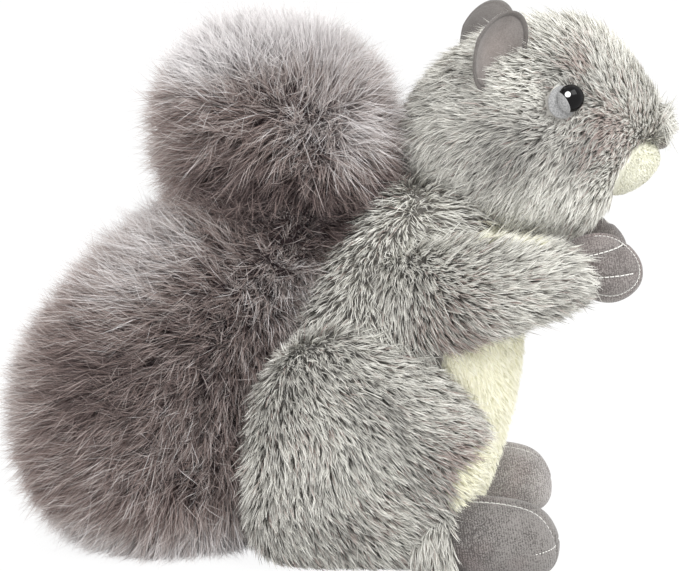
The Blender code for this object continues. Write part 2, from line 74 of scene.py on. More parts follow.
# %% Shader maths as expressions
class Socket:
    """An output socket with Python's operators: each one adds a Math node."""

    def __init__(self, finish, output):
        self.finish = finish
        self.output = output

    def maths(self, operation, *values):
        return self.finish.node("ShaderNodeMath", {"operation": operation}, dict(enumerate(values)))

    def __add__(self, other):
        return self.maths("ADD", self, other)

    def __sub__(self, other):
        return self.maths("SUBTRACT", self, other)

    def __rsub__(self, other):
        return self.maths("SUBTRACT", other, self)

    def __mul__(self, other):
        return self.maths("MULTIPLY", self, other)

    def __truediv__(self, other):
        return self.maths("DIVIDE", self, other)

    def clamped(self):
        return self.maths("MINIMUM", self.maths("MAXIMUM", self, 0.0), 1.0)

    def sine(self):
        return self.maths("SINE", self)

    def lesser(self, other):
        return self.maths("MINIMUM", self, other)


class Finish:
    """One material, built on a Principled shader."""

    def __init__(self, name, **constants):
        self.material = bpy.data.materials.new(name)
        self.material.use_nodes = True
        self.tree = self.material.node_tree
        self.shader = self.tree.nodes["Principled BSDF"]
        for socket, value in constants.items():
            self.shader.inputs[socket.replace("_", " ")].default_value = value

    def node(self, kind, settings=(), inputs=(), output=0):
        """Adds a node: its settings first, then the values or links of its sockets."""
        made = self.tree.nodes.new(kind)
        for name, value in dict(settings).items():
            setattr(made, name, value)
        for name, value in dict(inputs).items():
            self.feed(made.inputs[name], value)
        return Socket(self, made.outputs[output])

    def feed(self, socket, value):
        if isinstance(value, Socket):
            self.tree.links.new(value.output, socket)
        else:
            socket.default_value = value

    def set(self, name, value):
        self.feed(self.shader.inputs[name], value)

    def ramp(self, factor, stops, smooth=True):
        """A colour ramp through (position, colour) stops."""
        made = self.tree.nodes.new("ShaderNodeValToRGB")
        band = made.color_ramp
        band.interpolation = "EASE" if smooth else "LINEAR"
        for spare in range(len(stops) - 2):
            band.elements.new(0.5)
        for element, (position, colour) in zip(band.elements, stops):
            element.position = position
            element.color = (*colour, 1)
        self.feed(made.inputs["Fac"], factor)
        return Socket(self, made.outputs["Color"])

    def mix(self, factor, first, second, blend="MIX"):
        """Mixes two colours."""
        made = self.tree.nodes.new("ShaderNodeMix")
        made.data_type = "RGBA"
        made.blend_type = blend
        self.feed(made.inputs["Factor"], factor)
        self.feed(made.inputs["A"], first)
        self.feed(made.inputs["B"], second)
        return Socket(self, made.outputs["Result"])

    def places(self):
        return self.node("ShaderNodeTexCoord", output="Object")

    def part_of(self, vector, axis):
        """One part of a vector: X, Y or Z."""
        return self.node("ShaderNodeSeparateXYZ", {}, {"Vector": vector}, axis)

    def noise(self, vector, scale, detail=2.0, roughness=0.5):
        values = {"Vector": vector, "Scale": scale, "Detail": detail, "Roughness": roughness}
        return self.node("ShaderNodeTexNoise", {}, values, "Fac")

    def bump(self, height, distance, strength=1.0):
        values = {"Height": height, "Distance": distance, "Strength": strength}
        self.set("Normal", self.node("ShaderNodeBump", {}, values))


def tint(red, green, blue):
    """A colour as a screen shows it, 0 to 255, in the linear light that shaders work in."""
    shares = np.array([red, green, blue]) / 255
    linear = np.where(shares > 0.04045, ((shares + 0.055) / 1.055) ** 2.4, shares / 12.92)
    return tuple(float(value) for value in linear)


def stops(*rows):
    """Colour stops for a ramp, from rows of a position and a colour as a screen shows it."""
    return [(position, tint(*colour)) for position, colour in rows]


# %% [markdown]
# The toy is photographed on white, so the floor and the world show white to the camera only. What lights
# the toy is plain: a wide lamp above and ahead, a weaker one by the camera, and an even world.

# %% Floor, light and camera
FLOOR_SIZE = 30.0
FLOOR_GLOW = 0.92
FLOOR_SEEN = 1.03
WORLD_LIGHT = 0.85
WORLD_SEEN = 1.04
CAMERA_AWAY = 0.94
CAMERA_UP = 0.32
CAMERA_PITCH = math.radians(11.9)
CAMERA_LENS = 109.5
SENSOR_WIDTH = 36
LAMPS_AIM_UP = 0.11
LAMPS = (
    # name, place, width, watts
    ("key", (0.75, -0.75, 1.25), 0.9, 15.0),
    ("fill", (-0.7, -1.1, 0.7), 1.0, 5.0),
    ("back", (-0.5, 1.0, 1.1), 0.9, 6.0),
)


def middle_of(*nodes):
    """The middle of the box round these solids."""
    boxes = np.array([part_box(node) for node in nodes])
    return (boxes[:, 0].min(0) + boxes[:, 1].max(0)) / 2


# The paws are mirror images, so the middle between them is the toy's own middle.
TOY_Y = float(middle_of("left_paw", "right_paw")[1])


def grid_mesh(name, points, faces, smooth=True):
    """A mesh of these points and faces, at the origin."""
    mesh = bpy.data.meshes.new(name)
    mesh.from_pydata(points.tolist(), [], faces.tolist() if isinstance(faces, np.ndarray) else faces)
    mesh.polygons.foreach_set("use_smooth", [smooth] * len(mesh.polygons))
    made = bpy.data.objects.new(name, mesh)
    bpy.context.scene.collection.objects.link(made)
    return made


def seen_share(tree):
    """An output that is 1 for rays from the camera, for mirrored ones and for those that shine through."""
    path = tree.nodes.new("ShaderNodeLightPath")
    output = path.outputs["Is Camera Ray"]
    for other in ("Is Glossy Ray", "Is Transmission Ray"):
        larger = tree.nodes.new("ShaderNodeMath")
        larger.operation = "MAXIMUM"
        tree.links.new(output, larger.inputs[0])
        tree.links.new(path.outputs[other], larger.inputs[1])
        output = larger.outputs[0]
    return output


half_floor = FLOOR_SIZE / 2
corners = np.array([(-1, -1, 0), (1, -1, 0), (1, 1, 0), (-1, 1, 0)]) * half_floor
floor = grid_mesh("floor", corners, [(0, 1, 2, 3)], smooth=False)
pale = Finish("pale_floor", Roughness=0.9)
pale.set("Base Color", (0.9, 0.9, 0.9, 1))
glow = pale.tree.nodes.new("ShaderNodeEmission")
glow.inputs["Strength"].default_value = FLOOR_SEEN
shown = pale.tree.nodes.new("ShaderNodeMixShader")
pale.feed(shown.inputs["Fac"], Socket(pale, seen_share(pale.tree)) * FLOOR_GLOW)
pale.tree.links.new(pale.shader.outputs["BSDF"], shown.inputs[1])
pale.tree.links.new(glow.outputs["Emission"], shown.inputs[2])
pale.tree.links.new(shown.outputs["Shader"], pale.tree.nodes["Material Output"].inputs["Surface"])
floor.data.materials.append(pale.material)

world = bpy.data.worlds.new("studio")
bpy.context.scene.world = world
world.use_nodes = True
sky = world.node_tree.nodes["Background"]
level = world.node_tree.nodes.new("ShaderNodeMapRange")
level.inputs["To Min"].default_value = WORLD_LIGHT
level.inputs["To Max"].default_value = WORLD_SEEN
world.node_tree.links.new(seen_share(world.node_tree), level.inputs["Value"])
world.node_tree.links.new(level.outputs["Result"], sky.inputs["Strength"])
sky.inputs["Color"].default_value = (1, 1, 1, 1)

target = Vector((0.0, TOY_Y, LAMPS_AIM_UP))
for name, place, width, watts in LAMPS:
    lamp = bpy.data.objects.new(name, bpy.data.lights.new(name, "AREA"))
    lamp.data.size = width
    lamp.data.energy = watts
    lamp.location = place
    lamp.rotation_euler = (target - Vector(place)).to_track_quat("-Z", "Y").to_euler()
    bpy.context.scene.collection.objects.link(lamp)

camera = bpy.data.objects.new("camera", bpy.data.cameras.new("camera"))
camera.data.sensor_width = SENSOR_WIDTH
camera.data.lens = CAMERA_LENS
camera.location = (0, TOY_Y - CAMERA_AWAY, CAMERA_UP)
camera.rotation_euler = (math.pi / 2 - CAMERA_PITCH, 0, 0)
bpy.context.scene.collection.objects.link(camera)
bpy.context.scene.camera = camera
bpy.context.scene.view_settings.view_transform = "Standard"

# %% [markdown]
# A stuffed form swells between its seams, so its section is nearly an ellipse everywhere. That makes ribs
# a good description: each is a line across the outline in the side view, with a half width. A cubic
# B-spline runs smoothly along them, and the angle round each rib is the second parameter of the surface.


# %% A form from ribs
LIFT_OFF_FLOOR = 0.3 * MM
TINY = 1e-6


class Form:
    """A closed soft form. Its point at (t, angle) is middle + cos(angle) reach + sin(angle) half width.

    Middle, reach and half width come from a uniform cubic B-spline along the ribs, closed at both ends by
    ribs of no size. A form turns about Z round its origin, and lies inset along its normals.
    """

    def __init__(self, ribs, inset=0.0, turn=0.0, origin=(0.0, 0.0, 0.0)):
        x1, z1, x2, z2, y, half = np.array(ribs, float).T
        rows = np.stack([(x1 + x2) / 2, y, (z1 + z2) / 2, (x2 - x1) / 2, (z2 - z1) / 2, half], 1)
        closed = rows * (1, 1, 1, 0, 0, 0)
        self.rows = np.concatenate([closed[:1]] * 3 + [rows] + [closed[-1:]] * 3)
        self.spans = len(self.rows) - 3
        self.inset = inset
        self.frame = np.array(Matrix.Rotation(turn, 3, "Z"))
        self.origin = np.array(origin, float)
        self.axis = 0 if np.ptp(x1) > 0 and np.allclose(x1, x2) else 2
        self.steps = np.linspace(0, self.spans, 300)
        self.table = self.spline(self.steps)[0]
        probe = self.raw(*np.meshgrid(np.linspace(1, self.spans - 1, 9), np.linspace(0, 6, 7)))
        self.outward = np.sign(((probe[0] - probe[2]) * probe[1]).sum())

    def spline(self, t):
        """The weighted mean of the four rows round t, and how fast it changes."""
        t = np.asarray(t, float)
        first = np.clip(np.floor(t).astype(int), 0, self.spans - 1)
        f = (t - first)[..., None]
        weights = ((1 - f) ** 3, 3 * f**3 - 6 * f**2 + 4, -3 * f**3 + 3 * f**2 + 3 * f + 1, f**3)
        rates = (-((1 - f) ** 2), 3 * f**2 - 4 * f, -3 * f**2 + 2 * f + 1, f**2)
        value = sum(w * self.rows[first + k] for k, w in enumerate(weights)) / 6
        rate = sum(w * self.rows[first + k] for k, w in enumerate(rates)) / 2
        return value, rate

    def raw(self, t, angle):
        """Point, unscaled normal and middle, in the form's own frame."""
        value, rate = self.spline(t)
        c, s = np.cos(angle), np.sin(angle)
        middle = value[..., :3]
        point = middle + np.stack([value[..., 3] * c, value[..., 5] * s, value[..., 4] * c], -1)
        along = rate[..., :3] + np.stack([rate[..., 3] * c, rate[..., 5] * s, rate[..., 4] * c], -1)
        around = np.stack([-value[..., 3] * s, value[..., 5] * c, -value[..., 4] * s], -1)
        return point, np.cross(along, around), middle

    def at(self, t, angle):
        """Point and unit normal in the toy's frame."""
        point, normal, _ = self.raw(t, angle)
        size = np.linalg.norm(normal, axis=-1, keepdims=True)
        normal = self.outward * normal / np.maximum(size, 1e-12)
        point = point - self.inset * normal
        return point @ self.frame.T + self.origin, normal @ self.frame.T

    def own(self, points):
        """These points in the form's own frame."""
        return (points - self.origin) @ self.frame

    def holds(self, points, margin=0.0):
        """True for points inside the form grown by this margin. It looks up the rib level with each point."""
        local = self.own(points)
        level = local[:, self.axis]
        row = np.stack([np.interp(level, self.table[:, self.axis], column) for column in self.table.T], 1)
        across, reach_column = (2, 4) if self.axis == 0 else (0, 3)
        reach = np.abs(row[:, reach_column]) + margin
        half = row[:, 5] + margin
        ends = (level > self.table[0, self.axis] - margin) & (level < self.table[-1, self.axis] + margin)
        fits = (reach > TINY) & (half > TINY) & ends
        share = (local[:, across] - row[:, across]) / np.maximum(reach, TINY)
        aside = (local[:, 1] - row[:, 1]) / np.maximum(half, TINY)
        return fits & (share**2 + aside**2 < 1)


def quads_of(here):
    """The faces between the rings of a grid of point numbers, each of whose rings closes on itself."""
    beside = np.roll(here, -1, -1)
    rows = [here[..., :-1, :], beside[..., :-1, :], beside[..., 1:, :], here[..., 1:, :]]
    return np.stack(rows, -1).reshape(-1, 4)


def closed_rings(name, rings):
    """A closed mesh through rings of points, an (n, m, 3) array, with its faces turned outward."""
    n, m = rings.shape[:2]
    every = np.concatenate([rings.reshape(-1, 3), rings[[0, -1]].mean(1)])
    here = np.arange(n * m).reshape(n, m)
    quads = quads_of(here)
    first = np.stack([np.full(m, n * m), np.roll(here[0], -1), here[0]], -1)
    last = np.stack([np.full(m, n * m + 1), here[-1], np.roll(here[-1], -1)], -1)
    middle = every.mean(0)
    a, b, c = (every[quads[:, k]] - middle for k in range(3))
    # The sum of the tetrahedra under the faces is negative where they look inward.
    turned_in = (a * np.cross(b, c)).sum() < 0
    faces = quads.tolist() + first.tolist() + last.tolist()
    if turned_in:
        faces = [face[::-1] for face in faces]
    return grid_mesh(name, every, faces)


def cover(name, form, grooves=(), along=72, around=56):
    """The form's surface as a closed mesh. Each groove is a function of own points that gives a depth."""
    t = np.linspace(0, form.spans, along + 2)[1:-1]
    angle = np.arange(around) / around * math.tau
    points, normal = form.at(*np.meshgrid(t, angle, indexing="ij"))
    if grooves:
        own = form.own(points.reshape(-1, 3))
        depth = sum(groove(own) for groove in grooves).reshape(points.shape[:2])
        points = points - depth[..., None] * normal
    points[..., 2] = np.maximum(points[..., 2], LIFT_OFF_FLOOR)
    return closed_rings(name, points)


# %% [markdown]
# These ribs are the solids' own, so that each undercoat fills the place of its solid. Shares are easier to
# read than metres: a row says where along the piece a rib is, and how high, how low and how wide.

# %% Ribs of the stuffed pieces
TORSO = {"height": 0.176, "depth": 0.128, "width": 0.094, "back": -0.046}
HEAD = {"length": 0.119, "height": 0.0955, "width": 0.090, "behind_neck": 0.0165}
HEAD_TURN = math.radians(1)
NECK = (TORSO["back"] + 0.719 * TORSO["depth"], 0.0, TORSO["height"] - 0.0265)
MUZZLE = {"length": 0.041, "height": 0.036, "width": 0.054, "up": 0.15 * HEAD["height"]}
HAUNCH = {"length": 0.1075, "height": 0.113, "width": 0.046, "out": 0.040, "back": -0.0420}
ARM = {"length": 0.078, "height": 0.055, "width": 0.042, "out": 0.043}
PAW = {"length": 0.039, "height": 0.034, "width": 0.027, "out": 0.026}
FOOT = {"length": 0.072, "height": 0.036, "width": 0.035, "out": 0.041}
FOOT_TURN = {"left": math.radians(-3), "right": math.radians(14)}
FOOT_AHEAD = {"left": 0.012, "right": 0.0075}
TAIL = {"depth": 0.169, "height": 0.244, "width": 0.098, "ahead": 0.034, "root_at": 0.82}
BELLY = {"width": 0.088, "proud": 0.0040, "depth_share": 0.52}
TORSO_RIBS = (
    # up, back, front, width
    (-0.02, 0.17, 0.74, 0.62),
    (0.10, 0.04, 0.86, 0.90),
    (0.30, 0.00, 0.95, 1.00),
    (0.53, 0.08, 1.01, 1.00),
    (0.74, 0.25, 0.99, 0.95),
    (0.90, 0.42, 0.96, 0.80),
    (1.00, 0.55, 0.86, 0.48),
)
HEAD_RIBS = (
    # along, top, bottom, width
    (0.00, 0.56, 0.34, 0.20),
    (0.13, 0.78, 0.15, 0.66),
    (0.33, 0.94, 0.02, 0.96),
    (0.52, 1.00, -0.04, 1.00),
    (0.69, 1.00, -0.03, 0.94),
    (0.80, 0.93, 0.11, 0.80),
    (0.90, 0.79, 0.35, 0.55),
    (0.98, 0.63, 0.42, 0.32),
    (1.01, 0.55, 0.44, 0.15),
)
MUZZLE_RIBS = (
    # along, top, bottom, width
    (0.00, 0.72, 0.28, 0.50),
    (0.22, 0.95, 0.06, 0.92),
    (0.58, 1.00, 0.00, 1.00),
    (0.86, 0.82, 0.20, 0.76),
    (1.00, 0.60, 0.42, 0.34),
)
HAUNCH_RIBS = (
    # along, top, bottom, width
    (0.00, 0.62, 0.12, 0.34),
    (0.10, 0.85, 0.02, 0.80),
    (0.30, 1.00, -0.02, 1.00),
    (0.52, 0.98, -0.02, 1.00),
    (0.74, 0.88, -0.02, 0.94),
    (0.85, 0.79, 0.02, 0.86),
    (0.91, 0.71, 0.26, 0.74),
    (1.00, 0.62, 0.43, 0.38),
)
FOOT_RIBS = (
    # along, top, bottom, width
    (0.00, 0.68, 0.20, 0.40),
    (0.12, 0.92, 0.00, 0.82),
    (0.54, 1.00, -0.03, 1.00),
    (0.86, 0.94, -0.02, 0.95),
    (0.96, 0.70, 0.08, 0.72),
    (1.00, 0.50, 0.24, 0.40),
)
PAW_RIBS = (
    # along, top, bottom, width
    (0.00, 0.72, 0.42, 0.36),
    (0.14, 0.88, 0.26, 0.72),
    (0.42, 1.00, 0.06, 0.98),
    (0.70, 0.96, 0.02, 1.00),
    (0.92, 0.74, 0.18, 0.70),
    (1.00, 0.56, 0.34, 0.30),
)
ARM_RIBS = (
    # along, top, bottom, width, how far out
    (-0.30, 0.80, 0.24, 0.24, 0.78),
    (-0.08, 0.94, 0.12, 0.56, 0.88),
    (0.14, 1.02, 0.12, 0.86, 0.98),
    (0.42, 1.03, 0.25, 1.00, 1.02),
    (0.82, 0.96, 0.42, 0.76, 0.90),
    (0.95, 0.85, 0.50, 0.54, 0.74),
    (1.00, 0.74, 0.55, 0.28, 0.70),
)
TAIL_RIBS = (
    # ahead and up at the back end, ahead and up at the front end, width
    (0.24, -0.03, 0.60, -0.03, 0.60),
    (0.10, 0.05, 0.74, 0.05, 0.84),
    (0.01, 0.16, 0.78, 0.15, 0.97),
    (-0.01, 0.29, 0.80, 0.27, 1.00),
    (0.07, 0.43, 0.82, 0.39, 0.94),
    (0.27, 0.56, 0.86, 0.52, 0.80),
    (0.49, 0.655, 0.98, 0.62, 0.62),
    (0.42, 0.74, 1.06, 0.71, 0.80),
    (0.40, 0.84, 1.04, 0.82, 0.94),
    (0.47, 0.95, 0.98, 0.92, 0.84),
    (0.58, 1.00, 0.85, 0.99, 0.46),
)


def upright(rows, size, start, foot=0.0, out=0.0):
    """Upright ribs for rows of (along, top, bottom, width)."""
    along, top, bottom, width = np.array(rows).T
    x = start + along * size["length"]
    low, high = foot + bottom * size["height"], foot + top * size["height"]
    return np.stack([x, low, x, high, out + 0 * x, width * size["width"] / 2], 1)


def torso_rows(rows, width, proud=0.0, depth_share=None):
    """Level ribs up the body. The belly's stand proud in front, and are as deep as a share of their width."""
    up, back, front, wide = np.array(rows).T
    z = up * TORSO["height"]
    front_x = TORSO["back"] + front * TORSO["depth"] + proud
    back_x = TORSO["back"] + back * TORSO["depth"]
    if depth_share:
        back_x = front_x - depth_share * TORSO["depth"] * wide
    return np.stack([back_x, z, front_x, z, 0 * z, wide * width / 2], 1)


def tail_rows():
    """Slanting ribs that follow the tail's S from the floor to the curl."""
    x1, z1, x2, z2, width = np.array(TAIL_RIBS).T
    start = TORSO["back"] + TAIL["ahead"] - TAIL["root_at"] * TAIL["depth"]
    ends = [start + x1 * TAIL["depth"], z1 * TAIL["height"], start + x2 * TAIL["depth"], z2 * TAIL["height"]]
    return np.stack([*ends, 0 * x1, width * TAIL["width"] / 2], 1)


# %% [markdown]
# The solids are centred over the origin as one whole, so their own frame lies a little off it. Two small
# pieces tell how much: the paws are mirror images, and the nose is a plain ellipsoid at a known place.

# %% Where the forms lie
NOSE = {"depth": 0.009, "width": 0.011, "height": 0.008, "proud": 0.0030, "up": 0.42}
nape = -HEAD["behind_neck"]
nose_ahead = nape + HEAD["length"] + NOSE["proud"] - NOSE["depth"] / 2
TOY_X = float(middle_of("nose")[0] - NECK[0] - nose_ahead * math.cos(HEAD_TURN))
TOY = np.array((TOY_X, TOY_Y, 0.0))
camera.location.x = TOY_X
print("the toy's own frame is at", TOY)

PILE_INSET = 2.4 * MM
BELLY_INSET = 2.0 * MM
MUZZLE_INSET = 0.3 * MM
TAIL_INSET = 9.0 * MM
SHOULDER_AT = {"ahead": 0.63, "up": 0.54}
PAW_AT = {"back": 0.38, "up": 0.42}
HEEL_BACK = 0.62
SNOUT_BACK = 0.0022
neck = TOY + NECK
shoulder = TORSO["back"] + SHOULDER_AT["ahead"] * TORSO["depth"]
wrist = shoulder + ARM["length"] - PAW_AT["back"] * PAW["length"]
arm_foot = SHOULDER_AT["up"] * TORSO["height"]
paw_foot = arm_foot + PAW_AT["up"] * ARM["height"]
snout_back = nape + HEAD["length"] - SNOUT_BACK - MUZZLE["length"]
belly_rows = torso_rows(TORSO_RIBS[:-1], **BELLY)
forms = {
    "torso": Form(torso_rows(TORSO_RIBS, TORSO["width"]), PILE_INSET, origin=TOY),
    "belly_panel": Form(belly_rows, BELLY_INSET, origin=TOY),
    "head": Form(upright(HEAD_RIBS, HEAD, nape), PILE_INSET, HEAD_TURN, neck),
    "muzzle": Form(upright(MUZZLE_RIBS, MUZZLE, snout_back, MUZZLE["up"]), MUZZLE_INSET, HEAD_TURN, neck),
    "tail": Form(tail_rows(), TAIL_INSET, origin=TOY),
}
arm_ribs, arm_out = np.split(np.array(ARM_RIBS), [4], axis=1)
for side, sign in SIDES:
    ribs = upright(HAUNCH_RIBS, HAUNCH, HAUNCH["back"], out=sign * HAUNCH["out"])
    forms[side + "_haunch"] = Form(ribs, PILE_INSET, origin=TOY)
    ribs = upright(arm_ribs, ARM, shoulder, arm_foot, sign * arm_out[:, 0] * ARM["out"])
    forms[side + "_arm"] = Form(ribs, PILE_INSET, origin=TOY)
    forms[side + "_paw"] = Form(upright(PAW_RIBS, PAW, wrist, paw_foot, sign * PAW["out"]), origin=TOY)
    heel = HAUNCH["back"] + HAUNCH["length"] - HEEL_BACK * FOOT["length"] + FOOT_AHEAD[side]
    ankle = TOY + (heel, sign * FOOT["out"], 0)
    forms[side + "_foot"] = Form(upright(FOOT_RIBS, FOOT, 0), turn=sign * FOOT_TURN[side], origin=ankle)

# %% [markdown]
# Under the pile is a knitted backing. It only shows as the dark between the locks, so it needs the right
# darkness, a knit's small bumps and a true shape more than anything else.


# %% Undercoats
LIMBS = ("left_haunch", "right_haunch", "left_arm", "right_arm")
BACKINGS = (
    # name, its dark and its light, slot, solids
    ("grey_backing", (104, 101, 97), (150, 147, 142), "silver_pile", ("torso", *LIMBS)),
    ("pale_backing", (146, 143, 138), (184, 181, 175), "silver_pile", ("head",)),
    ("brown_backing", (74, 61, 63), (98, 84, 86), "tail_pile", ("tail",)),
    ("cream_backing", (243, 241, 220), (248, 246, 228), "cream_pile", ("belly_panel",)),
    ("muzzle_backing", (228, 227, 208), (236, 235, 218), "cream_pile", ("muzzle",)),
)


def dress(made, material, node=None):
    """Gives a piece its material, and its place on the toy, instead of a solid when one is named."""
    made.data.materials.append(material)
    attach(made, "root")
    if node:
        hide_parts(node)
    return made


for name, deep, lit, slot, nodes in BACKINGS:
    cloth = Finish(name, Roughness=0.95)
    where = cloth.places()
    mottle = cloth.noise(where, 260.0, 3.0)
    cloth.set("Base Color", cloth.ramp(mottle, stops((0.3, deep), (0.7, lit))))
    cloth.bump(cloth.noise(where, 900.0, 2.0), 0.4 * MM, 0.6)
    for node in nodes:
        dress(cover(node + "_cover", forms[node]), cloth.material, node)

# %% [markdown]
# A hair is far too thin to model as a tube: seen from a step away it is a stroke of light. A ribbon of
# three triangles, wide at the root and pointed at the tip, gives the same stroke for a tenth of the cost.
# Plush locks together in small points, so each root also belongs to a lock, and its tip leans that way.


# %% Where the roots are, and which lock each belongs to
END_OF_FORM = 0.02


def roots_on(form, count, rng):
    """Random points spread evenly over the form: small cells are drawn in proportion to their area."""
    t_edge = np.linspace(END_OF_FORM, form.spans - END_OF_FORM, 161)
    angle_edge = np.linspace(0, math.tau, 129)
    t_middle = (t_edge[1:] + t_edge[:-1]) / 2
    angle_middle = (angle_edge[1:] + angle_edge[:-1]) / 2
    t, angle = np.meshgrid(t_middle, angle_middle, indexing="ij")
    area = np.linalg.norm(form.raw(t, angle)[1], axis=-1).ravel()
    cell = rng.choice(area.size, count, p=area / area.sum())
    t = t.ravel()[cell] + rng.uniform(-0.5, 0.5, count) * (t_edge[1] - t_edge[0])
    angle = angle.ravel()[cell] + rng.uniform(-0.5, 0.5, count) * (angle_edge[1] - angle_edge[0])
    return form.at(t, angle)


def hashed(cells):
    """Three random-looking shares for each cell of a grid: the fraction of a large sine."""
    mixed = cells @ np.array([[127.1, 269.5, 419.2], [311.7, 183.3, 371.9], [74.7, 246.1, 124.6]])
    return np.modf(np.abs(np.sin(mixed) * 43758.5453))[0]


def locks_of(points, pitch):
    """For each point the nearest lock, one at a random place in each cube of a grid, and its own shares."""
    cube = np.floor(points / pitch)
    nearest = np.full(len(points), np.inf)
    place = np.zeros_like(points)
    shares = np.zeros_like(points)
    for step_to in product((-1, 0, 1), repeat=3):
        other = cube + step_to
        centre = (other + hashed(other)) * pitch
        distance = ((points - centre) ** 2).sum(1)
        closer = distance < nearest
        nearest[closer] = distance[closer]
        place[closer] = centre[closer]
        shares[closer] = hashed(other[closer] + 57)
    return place, shares


def drift(points, length, seed):
    """A smooth random vector at each point: the mean of sines that run all ways, about this length apart."""
    rng = np.random.default_rng(seed)
    ways = rng.normal(size=(3, 6, 3))
    ways *= math.tau / length / np.linalg.norm(ways, axis=-1, keepdims=True)
    phases = rng.uniform(0, math.tau, (3, 6))
    return np.sin(np.einsum("nk,cjk->ncj", points, ways) + phases).mean(-1) * 1.8


def unit(vectors):
    """The same directions at length one."""
    return vectors / np.maximum(np.linalg.norm(vectors, axis=-1, keepdims=True), 1e-9)


def along_skin(vectors, normal):
    """The part of each vector that lies in the surface, at unit length."""
    return unit(vectors - normal * (vectors * normal).sum(-1, keepdims=True))


def step(value, low, high):
    """0 below low, 1 above high, and a smooth rise between."""
    share = np.clip((value - low) / (high - low), 0, 1)
    return share * share * (3 - 2 * share)


def mixed(first, second, share):
    """First where the share is 0 and second where it is 1."""
    return first * (1 - share) + second * share


# %% [markdown]
# The colour of a strand is told by two numbers: its tone, which differs from strand to strand, and how far
# along the strand a point lies. Both are kept as a UV map: tone runs across it and length runs up it, so
# one small chart colours every strand.

# %% Strands
ROOT_ROW, TIP_ROW = 0.12, 0.88
STRIP = 0.0012
TONE_ENDS = (0.01, 0.99)
MIDDLE_WIDTH = 0.85
# How strands differ: a range of shares for each strand by itself, and a least share and a rise for a lock.
OWN_LENGTH, OWN_LIFT, OWN_WIDTH = (0.8, 1.1), (0.85, 1.15), (0.75, 1.25)
LOCK_LENGTH, LOCK_LIFT = (0.84, 0.32), (0.85, 0.3)
GUARD_WIDTH = 0.8
STEEPEST = 85
PULLED_HALFWAY, PULLED_ON = 0.4, 0.6
strand_total = 0
# Fabric stands at most a little proud of the solids' box: a strand that would reach past this is left out.
box = np.array(cad_box)
ROOM = box + np.array([[-1], [1]]) * (0.025 * (box[1] - box[0]) + 9 * MM)


def ribbons(name, strands, material):
    """One tapered ribbon a strand: two corners at the root, two halfway and one at the tip."""
    global strand_total
    count = len(strands["root"])
    strand_total += count
    half = strands["side"] * (strands["width"] / 2)[:, None]
    waist = MIDDLE_WIDTH * half
    root, middle, tip = strands["root"], strands["middle"], strands["tip"]
    corners = np.stack([root - half, root + half, middle - waist, middle + waist, tip], 1)
    corners[..., 2] = np.maximum(corners[..., 2], LIFT_OFF_FLOOR)
    first = np.arange(count)[:, None] * 5
    loops = (first + np.array([0, 1, 3, 2, 2, 3, 4])).ravel()
    mesh = bpy.data.meshes.new(name)
    mesh.vertices.add(count * 5)
    mesh.vertices.foreach_set("co", corners.ravel())
    mesh.loops.add(count * 7)
    mesh.loops.foreach_set("vertex_index", loops)
    mesh.polygons.add(count * 2)
    starts = (np.arange(count)[:, None] * 7 + np.array([0, 4])).ravel()
    mesh.polygons.foreach_set("loop_start", starts)
    mesh.polygons.foreach_set("loop_total", np.tile([4, 3], count))
    mesh.update(calc_edges=True)
    across = np.clip(strands["tone"], *TONE_ENDS)[:, None] + STRIP * np.array([-1, 1, -1, 1, 0])
    up = np.broadcast_to([ROOT_ROW, ROOT_ROW, 0.5, 0.5, TIP_ROW], across.shape)
    chart = np.stack([across, up], -1).reshape(-1, 2)[loops]
    mesh.uv_layers.new(name="OFBake").data.foreach_set("uv", chart.ravel())
    made = bpy.data.objects.new(name, mesh)
    bpy.context.scene.collection.objects.link(made)
    print(name, count, "strands of", strand_total)
    return dress(made, material)


def per_root(value, root):
    """A number for each root: the same for all, or what a function of the roots gives."""
    return value(root) if callable(value) else np.full(len(root), float(value))


def rising(least_and_rise, share):
    """The least value where the share is 0, and more by the rise where it is 1."""
    least, rise = least_and_rise
    return least + rise * share


